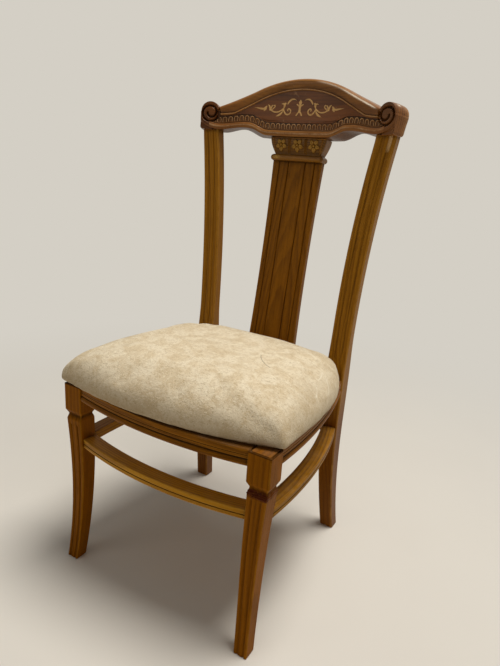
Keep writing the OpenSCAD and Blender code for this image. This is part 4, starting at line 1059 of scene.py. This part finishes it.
# the left scroll takes more of the second tone than the right: painted shade on the side away from the lamp
for side, label in SIDES:
    fibre = np.stack([lz, d_all, (crest_half + lx) * side], -1)
    roll_end = lay(f"crest_scroll_{label}", right_end * (side, 1, 1), faces, fibre, e_all,
                   (0.1, 0.9, 0.4), h_all, worn_top_glint if side > 0 else None, 40,
                   np.clip(t_all * (1.25 if side < 0 else 1), 0, 1))
    finish_piece(roll_end, crest_finish, "carved_wood", "crest_rail")

# ---- Inlay ----
# Pale veneer let into the sunk panel: a vase between two mirrored sprays of scrolls,
# leaves and darts. Each stroke is one sliver, rubbed level and slightly swollen.
INLAY_DEEP, INLAY_MID, INLAY_UP, INLAY_SPREAD = 2.3, -3.5, 0.6, 1.035


def smooth_line(knots, count):
    """A curve through the knots: cubic pieces whose tangents are half the step from
    the knot before to the knot after."""
    k = np.asarray(knots, float)
    ends = np.concatenate([[2 * k[0] - k[1]], k, [2 * k[-1] - k[-2]]])
    t = np.linspace(0, len(k) - 1, count)
    i = np.minimum(t.astype(int), len(k) - 2)
    f = (t - i)[:, None]
    p0, p1, p2, p3 = ends[i], ends[i + 1], ends[i + 2], ends[i + 3]
    return 0.5 * (2 * p1 + (p2 - p0) * f + (2 * p0 - 5 * p1 + 4 * p2 - p3) * f ** 2
                  + (3 * p1 - p0 - 3 * p2 + p3) * f ** 3)


# each knot is (across, height, half width) on the panel, for the right-hand side
SPRAY = {
    "top_leaf": [(9.5, 74.4, 0.2), (15, 76.4, 1.3), (21, 76.0, 1.9), (26, 72.4, 2.1), (29, 68.0, 1.7),
                 (29.6, 64.5, 0.4)],
    "calyx_out": [(38.6, 56.0, 1.2), (37.6, 61.0, 1.6), (38.5, 66.0, 2.0), (44.5, 66.2, 0.3)],
    "calyx_in": [(38.0, 57.0, 1.2), (36.2, 62.0, 1.7), (35.4, 67.4, 1.9), (32.4, 66.2, 0.4)],
    "curl": [(38.4, 56.5, 1.2), (36.4, 50.0, 1.7), (31.5, 44.6, 1.8), (25.5, 43.8, 1.6), (21.2, 47.8, 1.6),
             (21.6, 53.6, 1.6), (26.0, 56.2, 1.7), (28.2, 53.0, 1.5), (26.4, 51.0, 0.7)],
    "low_leaf": [(38.8, 55.0, 0.8), (40.6, 49.0, 1.6), (44.6, 44.2, 2.4), (49.6, 41.0, 1.9),
                 (54.6, 39.0, 0.3)],
    "vine": [(38.4, 57.0, 1.1), (43.5, 52.2, 1.5), (51.0, 48.6, 1.6), (59.0, 48.4, 1.5),
             (66.0, 51.0, 1.5), (69.6, 54.0, 1.4)],
    "bud_out": [(69.6, 51.2, 2.6), (70.4, 56.0, 2.3), (72.6, 61.0, 2.0), (76.0, 63.6, 0.3)],
    "bud_in": [(69.6, 51.2, 2.2), (68.0, 56.4, 1.8), (66.2, 61.0, 1.8), (63.0, 63.0, 0.4)],
    "tendril": [(66.0, 52.8, 1.0), (62.6, 56.0, 1.3), (59.4, 59.4, 1.4), (60.4, 63.2, 1.2),
                (62.0, 61.8, 0.6)],
    "sepal": [(77.6, 60.6, 0.5), (80.4, 57.6, 2.8), (82.0, 53.6, 3.4), (84.4, 49.4, 0.6)],
    "dart": [(83.6, 55.2, 1.4), (88.0, 53.8, 2.1), (96.0, 54.8, 1.5), (107.0, 56.2, 0.1)],
}
VASE = [(0, 75.8, 0.2), (0, 73.0, 2.6), (0, 69.6, 4.4), (0, 66.6, 2.9), (0, 65.4, 3.2), (0, 61.0, 3.2),
        (0, 55.5, 2.8), (0, 51.0, 3.3), (0, 47.6, 4.2)]
VASE_SIDE = {
    "wing": [(2.0, 62.0, 1.4), (4.6, 63.8, 1.6), (7.0, 65.4, 1.3), (8.6, 65.8, 0.4)],
    "foot": [(2.6, 48.6, 1.7), (4.4, 45.4, 1.8), (6.4, 42.4, 1.6), (6.8, 41.2, 0.5)],
}
strokes = [(VASE, 1)]
for part in (SPRAY, VASE_SIDE):
    for knots in part.values():
        strokes += [(knots, 1), (knots, -1)]
all_points, all_faces, all_fibre, all_edge, first = [], [], [], [], 0
for knots, side in strokes:
    line = smooth_line(knots, 30)
    x, z = INLAY_MID + INLAY_SPREAD * line[:, 0] * side, line[:, 1] + INLAY_UP
    half = np.maximum(line[:, 2], 0.12)
    way = np.gradient(np.stack([x, z], -1), axis=0)
    way /= np.linalg.norm(way, axis=1, keepdims=True)
    off = np.array([-1, -0.72, 0, 0.72, 1, 1, -1])
    deep = INLAY_DEEP + np.array([0.15, -0.28, -0.42, -0.28, 0.15, 0.6, 0.6]) + 0 * x[:, None]
    px = x[:, None] - way[:, 1:] * off * half[:, None]
    pz = z[:, None] + way[:, :1] * off * half[:, None]
    pts = crest_place(px, deep, pz)
    rows, cols = deep.shape
    all_points.append(pts.reshape(-1, 3))
    all_fibre.append(np.stack([pz, deep, px], -1).reshape(-1, 3))
    all_edge.append(np.tile([0.2, 0.1, 0, 0.1, 0.2, 0, 0], rows))
    all_faces += tube_faces(rows, cols, first)
    first += rows * cols
inlay_finish = timber("inlay_veneer", srgb(222, 178, 112), srgb(172, 126, 70), srgb(228, 192, 132),
                      rough=0.34, coat=0.3, rings=420, heart=(0.03, 0.02, 0), contrast=0.8, bump=0.00004)
inlay = lay("crest_inlay_spray", np.concatenate(all_points), all_faces, np.concatenate(all_fibre),
            np.concatenate(all_edge), (0.3, 0.1, 0.2), None, None, 50)
finish_piece(inlay, inlay_finish, "inlay_wood", "crest_inlay")

# ---- Capital and splat ----
# The capital is a block dowelled under the crest rail, its front carved with three
# rosettes between reeds, over a half-round collar. The splat is a waisted board with
# four V grooves, tenoned into the capital and into a shoe on the rear rail.
CAPITAL_H, COLLAR_H, CAPITAL_T, CAPITAL_SET = 36.0, 15.0, 34.0, 8.0
capital_top = -4.0
capital_low = capital_top - CAPITAL_H
collar_mid = capital_low - COLLAR_H / 2
PANEL = SPLAT_W / 3.05
ROSETTE_UP = CAPITAL_H * 0.56


def rosette(x, z):
    """Five petals round a boss: a dome whose rim swells and draws in five times round,
    split by clefts between the petals and a crease down each, with a button in the
    middle."""
    rho, turn = np.hypot(x, z), np.arctan2(z, x) + 0.3
    rim = 12.6 + 2.6 * np.cos(5 * turn)
    petal = np.clip(1 - (rho / rim) ** 4, 0, 1) ** 0.5 * (0.55 + 0.45 * np.clip(rho / 9, 0, 1))
    cleft = 1 - 0.8 * bell(np.sin(2.5 * turn + math.pi / 2) * rho, 1.3) * (rho > 2.6)
    crease = 1 - 0.35 * bell(np.sin(2.5 * turn) * rho, 0.8) * (rho > 4.5)
    dish = 0.5 * bell(rho - 3.4, 0.9)
    return petal * cleft * crease - dish + 0.8 * bell(rho, 2.0)


def capital_carve(x, z):
    """Negative stands proud: a rosette in the middle of each third, a pair of upright
    reeds that part like leaves between them, and narrow leaves at both ends."""
    up = (z - capital_low) / CAPITAL_H
    out = 0 * x
    for i in (-1, 0, 1):
        out = out - 3.2 * rosette(x - i * PANEL, z - (capital_low + ROSETTE_UP))
    stands = ease(up * 6) * ease((1.02 - up) * 8)
    for at in (-0.5, 0.5):
        near = np.abs(x - at * PANEL)
        spread = 1.7 + 2.2 * np.abs(up - 0.5) ** 1.5
        out = out - 2.3 * bell(near - spread, 0.95) * stands
    out = out - 1.8 * bell(np.abs(x) - (56 + 7 * up), 1.8) * stands
    band = np.clip(ease((up - 0.93) / 0.05) + ease((0.07 - up) / 0.05), 0, 1)
    return out * (1 - band) - 1.2 * band


cap_rows = np.linspace(capital_low - 1, capital_top - 0.2, 80)
up = np.clip((cap_rows - capital_low) / CAPITAL_H, 0, 1)
cap_half = SPLAT_W / 2 + 7.5 - 13 * (1 - up) ** 1.6
cap_front = 7.5 * (1 - up) ** 1.8
points, fibre, edge = square_post(
    cap_rows, 0 * cap_rows, CAPITAL_SET + (CAPITAL_T + cap_front) / 2, cap_half,
    (CAPITAL_T - cap_front) / 2, 2.2, square_columns(16, 4, 230), capital_carve)
carved = capital_carve(fibre[..., 0], points[..., 2])
facing = fibre[..., 1] < -(CAPITAL_T - cap_front[:, None]) / 2 + 6
# the carving's recesses are darkened: grime and painted shade
hollow = np.where(facing, np.clip(1 + carved / 1.2, 0, 1) * 0.55, 0)
petals = sum(np.hypot(fibre[..., 0] - i * PANEL, points[..., 2] - capital_low - ROSETTE_UP) < 15.5
             for i in (-1, 0, 1))
gold = np.where(facing, np.clip(-carved / 2.4, 0, 1) ** 1.5 * petals, 0)
edge = np.maximum(edge * 0.8, gold * 0.9)
faces = tube_faces(*edge.shape)
# the carving was once touched with gold, which is left on the high spots
capital_finish = timber("capital_lacquer", srgb(156, 104, 26), srgb(92, 54, 8), srgb(184, 138, 58),
                        rough=0.34, coat=0.2, rings=260, heart=(0.06, 0.05, 0),
                        scarred=srgb(186, 142, 62))
capital = lay("splat_capital_carved", tilted(*np.moveaxis(points, -1, 0)), faces,
              fibre[..., [2, 1, 0]], edge, (0.2, 0.2, 0.8), hollow, gold * 0.5, 40)
finish_piece(capital, capital_finish, "carved_wood", "splat_capital")

# collar: rows run down the half round, which also passes round both ends
a = np.linspace(-math.pi / 2, math.pi / 2, 17)
collar_rows = collar_mid + COLLAR_H / 2 * np.sin(a)
swell = COLLAR_H / 2 * np.cos(a)
collar_front = CAPITAL_SET + 2
points, fibre, edge = square_post(
    collar_rows, 0 * a, (collar_front + CAPITAL_SET + CAPITAL_T) / 2, SPLAT_W / 2 - 4 + swell,
    (CAPITAL_T + CAPITAL_SET - collar_front) / 2 - 5 + np.minimum(swell, 6.8), 6.0,
    square_columns(20, 8, 80))
# a patch of gold is left near the collar's left end
worn = (bell(fibre[..., 0] + 50, 8)
        * ease((3.5 - np.abs(points[..., 2] - collar_mid)) / 3 + 0.6))
worn = np.where(fibre[..., 1] < 0, worn * (1 + 0.3 * hash_noise(fibre[..., 0], points[..., 2], 4)), 0)
# darker at the top and bottom of the half round: painted shade in the creases
hollow = np.repeat(bell(np.cos(a), 0.35)[:, None], edge.shape[1], 1)
edge = np.repeat((0.5 * np.cos(a) ** 2)[:, None], edge.shape[1], 1)
faces = tube_faces(*edge.shape)
collar = lay("splat_capital_collar", tilted(*np.moveaxis(points, -1, 0)), faces,
             fibre[..., [2, 1, 0]], edge, (0.25, 0.5, 0.3), hollow * 0.8, np.clip(worn, 0, 1), 50)
finish_piece(collar, capital_finish, "carved_wood", "splat_capital")

SPLAT_T, SHOE_H, SPLAT_WAIST = 15.0, 22.0, 4.0
splat_low = SEAT_H + SHOE_H
foot_y = rear_rail_y - SPLAT_T / 2 + 1
head_z, head_deep = collar_mid - COLLAR_H / 2, CAPITAL_SET + CAPITAL_T - SPLAT_T - 7
head = (crest_y + head_deep * math.cos(CREST_TILT) + head_z * math.sin(CREST_TILT),
        BACK_H + head_z * math.cos(CREST_TILT) - head_deep * math.sin(CREST_TILT))
GROOVES = (-0.36, -0.17, 0.17, 0.36)
SPLAT_GROOVE_DEEP = 2.6


def splat_carve(x, z):
    """V grooves at fixed shares of the width, each with a hair-fine bead beside it."""
    cut = 0 * x
    for at in GROOVES:
        t = np.abs(x - at * SPLAT_W)
        cut = cut + np.clip(1 - t / 1.5, 0, 1) * SPLAT_GROOVE_DEEP - 0.3 * bell(t - 2.6, 0.8)
    return cut


# so many columns run across the front that the grooves' sides stay crisp
rows_z = np.linspace(splat_low - 1, head[1] + 4, 60)
share = (rows_z - splat_low) / (head[1] - splat_low)
splat_y = foot_y + (head[0] - foot_y) * share
splat_half = SPLAT_W / 2 - SPLAT_WAIST * 4 * np.clip(share, 0, 1) * (1 - np.clip(share, 0, 1))
points, fibre, edge = square_post(rows_z, 0 * rows_z, splat_y + SPLAT_T / 2, splat_half, SPLAT_T / 2,
                                  1.6, square_columns(8, 4, 190), splat_carve)
carved = np.where(fibre[..., 1] < 0, splat_carve(fibre[..., 0], points[..., 2]), 0)
# the grooves, and the top just under the capital, are darkened: grime and painted shade
hollow = np.clip(carved / SPLAT_GROOVE_DEEP, 0, 1) ** 1.5 * 0.8
hollow = np.maximum(hollow, 0.7 * np.exp(-(head[1] - points[..., 2]) / 5))
splat_finish = timber("splat_lacquer", srgb(142, 88, 8), srgb(84, 44, 0), srgb(166, 112, 40),
                      rings=120, heart=(0.012, 0.045, 0), taper=0.07, waver=0.035, contrast=0.8)
faces = tube_faces(*edge.shape)
splat = lay("splat_grooved", points, faces, fibre, edge, (0, 0, 0), hollow, None, 30)
finish_piece(splat, splat_finish, "splat_wood", "splat")

# ---- Hidden joinery ----
# The shoe, corner blocks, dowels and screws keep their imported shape: a lacquered
# strip, bare beech, and zinc-plated steel.
nodes = frame["nodes"]


def dress(name, finish):
    """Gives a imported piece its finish."""
    nodes[name].data.materials.clear()
    nodes[name].data.materials.append(finish)


dress("splat_shoe", timber("shoe_lacquer", srgb(120, 76, 26), srgb(62, 34, 6),
                           srgb(148, 104, 54), fibre=(0, 90, 0)))
bare_beech = timber("bare_beech", srgb(206, 170, 122), srgb(166, 126, 82), srgb(214, 184, 140),
                    rough=0.62, coat=0.0, fibre=(0, 90, 0), rings=300, bump=0.00016)
for name in ("corner_block_front_left", "corner_block_front_right", "corner_block_rear_left",
             "corner_block_rear_right", "crest_dowels"):
    dress(name, bare_beech)

zinc, t, shell, where = new_finish("dull_zinc")
cloudy = clouds(t, where, 420, (1, 1, 1), 4.0)
feed(t, shell, {
    "Base Color": blend(t, cloudy, srgb(186, 186, 180), srgb(120, 112, 98)),
    "Roughness": ramp(t, cloudy, 0.3, 0.7, 0.28, 0.55), "Metallic": 1.0})
for name in ("corner_block_screws", "seat_screws"):
    dress(name, zinc)

# ---- Seat pad ----
# Foam on the plywood board under cream chenille velvet, plump in the middle with
# pointed front corners. It has worked loose: it sits skewed, with its right front
# corner drawn back and lifted off the frame, and its pile is soiled and matted.
PAD_LOW, PAD_CROWN, PAD_HALF = 411.5, 503.0, 249


def pad_front(x):
    """Front edge: a bow between the two corners, the right one drawn back."""
    s = np.clip(x / PAD_HALF, -1, 1)
    return 19.0 + 15.0 * s - 39.0 * (1 - np.abs(s) ** 2.2)


def pad_spot(u, v, side_in=0.0):
    """Where the place (u, v) of the square from -1 to 1 lies on the seat: u runs
    across between two bowed sides and v from the front edge to the back one, whose
    corners are rounded."""
    t = (v + 1) / 2
    right, left = 253 - 2 * t - 48 * t ** 4, 250 - 56 * t ** 1.15 + 36 * t * (1 - t)
    half = np.where(u > 0, right, left) - side_in
    front = pad_front(u * PAD_HALF) + side_in
    back = 394.0 - side_in - 26 * np.abs(u) ** 7
    return u * half, front + (back - front) * t


def pad_faces(count):
    """Quads of two square grids of points, one over the other, and of the wall that
    joins their borders."""
    i, j = np.meshgrid(np.arange(count - 1), np.arange(count - 1), indexing="ij")
    quads = np.stack([i * count + j, (i + 1) * count + j, (i + 1) * count + j + 1,
                      i * count + j + 1], -1).reshape(-1, 4)
    n = count * count
    rim = np.concatenate([np.arange(count) * count, (count - 1) * count + np.arange(1, count),
                          np.arange(count - 2, -1, -1) * count + count - 1,
                          np.arange(count - 2, 0, -1)])
    after = np.roll(rim, -1)
    walls = np.stack([rim, after, after + n, rim + n], -1)
    return quads.tolist() + (quads[:, ::-1] + n).tolist() + walls.tolist()


def pad_grid(count):
    """The square from -1 to 1, its lines drawn closer towards the border by a sine."""
    line = np.sin(np.linspace(-1, 1, count) * math.pi / 2)
    return np.meshgrid(line, line, indexing="ij")


def two_sheets(x, y, top, base):
    """The points of an upper sheet, followed by those of a lower one."""
    return np.concatenate([np.stack(np.broadcast_arrays(x, y, z), -1).reshape(-1, 3)
                           for z in (top, base)])


# the plywood under the pad has moved with it, and stays hidden by its edge
count = 40
verts = two_sheets(*pad_spot(*pad_grid(count), 9), 420.0, 410.0)
board = lay("seat_board_ply", verts, pad_faces(count), verts[:, [2, 1, 0]], np.zeros(len(verts)),
            (0.3, 0.3, 0.3))
finish_piece(board, timber("birch_ply", srgb(200, 168, 122), srgb(168, 132, 88),
                           srgb(208, 180, 140), rough=0.66, coat=0.0, rings=90, waver=0.06,
                           heart=(0.0, 0.3, 0), bump=0.00012), "bare_wood", "seat_board")

pad_finish, t, shell, where = new_finish("cream_chenille")
pile = clouds(t, where, 620, (1, 1, 1), 4.0, 0.65, 0.4)
tuft = clouds(t, where, 150, (1, 1, 1), 5.0, 0.6, 0.8)
mottle = clouds(t, where, 34, (1, 1, 1), 6.0, 0.62, 0.6)
soil = clouds(t, where, 9, (1, 1, 1), 4.0, 0.6, 0.4)
hairs = clouds(t, where, 1.0, (90, 560, 90), 3.0, 0.5, 1.4)
# short matted strokes of the pile, dark and light
strokes_dark = clouds(t, where, 1.0, (150, 420, 260), 3.0, 0.55, 1.2)
strokes_pale = clouds(t, where, 1.0, (210, 520, 300), 2.0, 0.5, 1.5)
up = shader(t, "ShaderNodeSeparateXYZ", {0: where}).outputs[2]
cloth = blend(t, ramp(t, mottle, 0.38, 0.62), srgb(236, 221, 192), srgb(216, 195, 159))


def lay_over(mask, share, colour):
    """A share of a colour laid over the cloth wherever the mask is on."""
    return blend(t, times(t, mask, share), cloth, srgb(*colour))


for pattern, low, high, share, colour in (
        (tuft, 0.48, 0.74, 0.42, (178, 150, 112)), (soil, 0.50, 0.80, 0.30, (168, 142, 106)),
        (pile, 0.35, 0.80, 0.30, (244, 234, 210)), (hairs, 0.64, 0.72, 0.35, (238, 226, 200)),
        (strokes_dark, 0.54, 0.64, 0.55, (178, 155, 116)),
        (strokes_pale, 0.58, 0.66, 0.60, (250, 241, 217))):
    cloth = lay_over(ramp(t, pattern, low, high), share, colour)
# darker towards the lower edge, by height in metres: soil, and painted shade on the pad's sides
for low, high, share, colour in ((0.415, 0.498, 0.52, (164, 139, 101)),
                                 (0.410, 0.440, 0.40, (140, 114, 78))):
    cloth = lay_over(ramp(t, up, low, high, 1.0, 0.0), share, colour)


def thread(centre, radius, bearing, half_turn, half_width):
    """Share of a thread that lies on the pad along an arc: near the circle's line, and
    within half a turn's share of its middle bearing."""
    cx, cy = centre[0] / 1000, centre[1] / 1000 - shift_y
    apart = shader(t, "ShaderNodeVectorMath", {0: where, 1: (cx, cy, 0)}, operation="SUBTRACT")
    flat = shader(t, "ShaderNodeVectorMath", {0: apart.outputs[0], 1: (1, 1, 0)},
                  operation="MULTIPLY").outputs[0]
    reach = shader(t, "ShaderNodeVectorMath", {0: flat}, operation="LENGTH").outputs[1]
    off = maths(t, "ABSOLUTE", maths(t, "SUBTRACT", reach, radius / 1000))
    line = ramp(t, off, half_width / 2000, half_width / 1000, 1.0, 0.0)
    a = math.radians(bearing)
    facing = shader(t, "ShaderNodeVectorMath", {
        0: shader(t, "ShaderNodeVectorMath", {0: flat}, operation="NORMALIZE").outputs[0],
        1: (math.cos(a), math.sin(a), 0)}, operation="DOT_PRODUCT").outputs[1]
    edge_cos = math.cos(math.radians(half_turn))
    return times(t, line, ramp(t, facing, edge_cos, edge_cos + 0.01))


# one dark hair near the middle, and pale scuffs towards the right rear corner
cloth = lay_over(thread((183.4, 227.2), 86.9, -134, 22, 0.8), 0.7, (92, 70, 48))
for centre, radius, bearing in (((160.4, 172.1), 96.0, 40), ((172, 150), 70.0, 26),
                                ((128, 214), 92.0, 12)):
    cloth = lay_over(thread(centre, radius, bearing, 13, 1.2), 0.42, (252, 245, 226))
fuzz = maths(t, "MULTIPLY_ADD", tuft, 1.0, times(t, pile, 0.55))
feed(t, shell, {
    "Base Color": cloth, "Roughness": ramp(t, tuft, 0.2, 0.8, 0.78, 0.95),
    "Sheen Weight": 0.35, "Sheen Roughness": 0.45, "Sheen Tint": srgb(244, 232, 206),
    "Specular IOR Level": 0.15,
    "Normal": shader(t, "ShaderNodeBump", {
        "Height": fuzz, "Distance": 0.0016, "Strength": 0.8}).outputs[0]})

count = 72
u, v = pad_grid(count)
x, y = pad_spot(u, v)
# the front corners are drawn out into ears
ear = (np.abs(u) * (1 - v) / 2) ** 14
x, y = x + ear * np.where(u > 0, 1, -10), y - 4 * ear
swell = (1 - np.abs(u) ** 7) ** 0.38 * (1 - np.abs(v) ** 5.5) ** 0.40
rise = 0.88 + 0.12 * (1 - v ** 2) * (1 - u ** 2)
top = PAD_LOW + 17 + (PAD_CROWN - PAD_LOW - 20) * swell * rise
verts = two_sheets(x, y, top, PAD_LOW + 0.5)
pad = lay("seat_pad_chenille", verts, pad_faces(count), verts, np.zeros(len(verts)), (0, 0, 0),
          None, None, 180)


def add_levels(piece, name, share, levels):
    """A vertex group in a few even levels: each point gets the level that its share
    rises to, and none at 0."""
    group = piece.vertex_groups.new(name=name)
    for level in levels:
        picked = np.nonzero((share > level - levels[0]) & (share <= level))[0]
        group.add(picked.tolist(), level, "REPLACE")


def drop_modifiers(piece):
    """Replaces the mesh with its evaluated one, and clears the modifiers."""
    graph = bpy.context.evaluated_depsgraph_get()
    fresh = bpy.data.meshes.new_from_object(piece.evaluated_get(graph))
    piece.modifiers.clear()
    piece.data = fresh


def mesh_points(mesh):
    """The mesh's points, one row of x, y and z each."""
    flat = np.empty(len(mesh.vertices) * 3)
    mesh.vertices.foreach_get("co", flat)
    return flat.reshape(-1, 3)


# the cloth is blown up for so many frames, and no point moves further than 6 mm
FILL_FRAMES, FILL_MOST = 20, 0.006
remesh = pad.modifiers.new("even", "REMESH")
remesh.mode, remesh.voxel_size = "VOXEL", 0.005
drop_modifiers(pad)
start = mesh_points(pad.data)
scene = bpy.context.scene
# the cover is stapled under the board, so its lower edge stays put
share = np.clip(1 - (start[:, 2] - PAD_LOW / 1000 - 0.004) / 0.010, 0, 1)
add_levels(pad, "held", share, (0.25, 0.5, 0.75, 1.0))
filling = pad.modifiers.new("fill", "CLOTH").settings
filling.vertex_group_mass = "held"
filling.use_pressure = True
filling.uniform_pressure_force = 4.0
filling.effector_weights.gravity = 0.0
filling.quality = 6
filling.tension_stiffness = 25
filling.bending_stiffness = 6
for number in range(1, FILL_FRAMES + 1):
    scene.frame_set(number)
drop_modifiers(pad)
scene.frame_set(1)
now = mesh_points(pad.data)
move = now - start
far = np.linalg.norm(move, axis=1, keepdims=True)
now = start + move * np.minimum(1, FILL_MOST / np.maximum(far, 1e-9))
# it rests on the frame, and its right front corner is lifted (in metres from here on)
LIFT_X, LIFT_Y, LIFT = 0.225, 0.045, 0.003
now[:, 2] = np.maximum(now[:, 2], PAD_LOW / 1000)
corner = np.exp(-(((now[:, 0] - LIFT_X) / 0.08) ** 2 + ((now[:, 1] + shift_y - LIFT_Y) / 0.09) ** 2))
now[:, 2] += LIFT * corner * np.clip((0.46 - now[:, 2]) / 0.05, 0, 1)
pad.data.vertices.foreach_set("co", now.ravel())
pad.data.polygons.foreach_set("use_smooth", [True] * len(pad.data.polygons))
# the cover is drawn smooth over the right front corner
add_levels(pad, "drawn", corner * np.clip((now[:, 2] - 0.424) / 0.02, 0, 1),
           (0.2, 0.4, 0.6, 0.8, 1.0))
plump = pad.modifiers.new("drawn smooth", "SMOOTH")
plump.factor, plump.iterations, plump.vertex_group = 0.5, 30, "drawn"
relax = pad.modifiers.new("relax", "SMOOTH")
relax.factor, relax.iterations = 0.5, 4
smooth = pad.modifiers.new("soft", "SUBSURF")
smooth.levels = smooth.render_levels = 1
finish_piece(pad, pad_finish, "pad_fabric", "seat_pad")
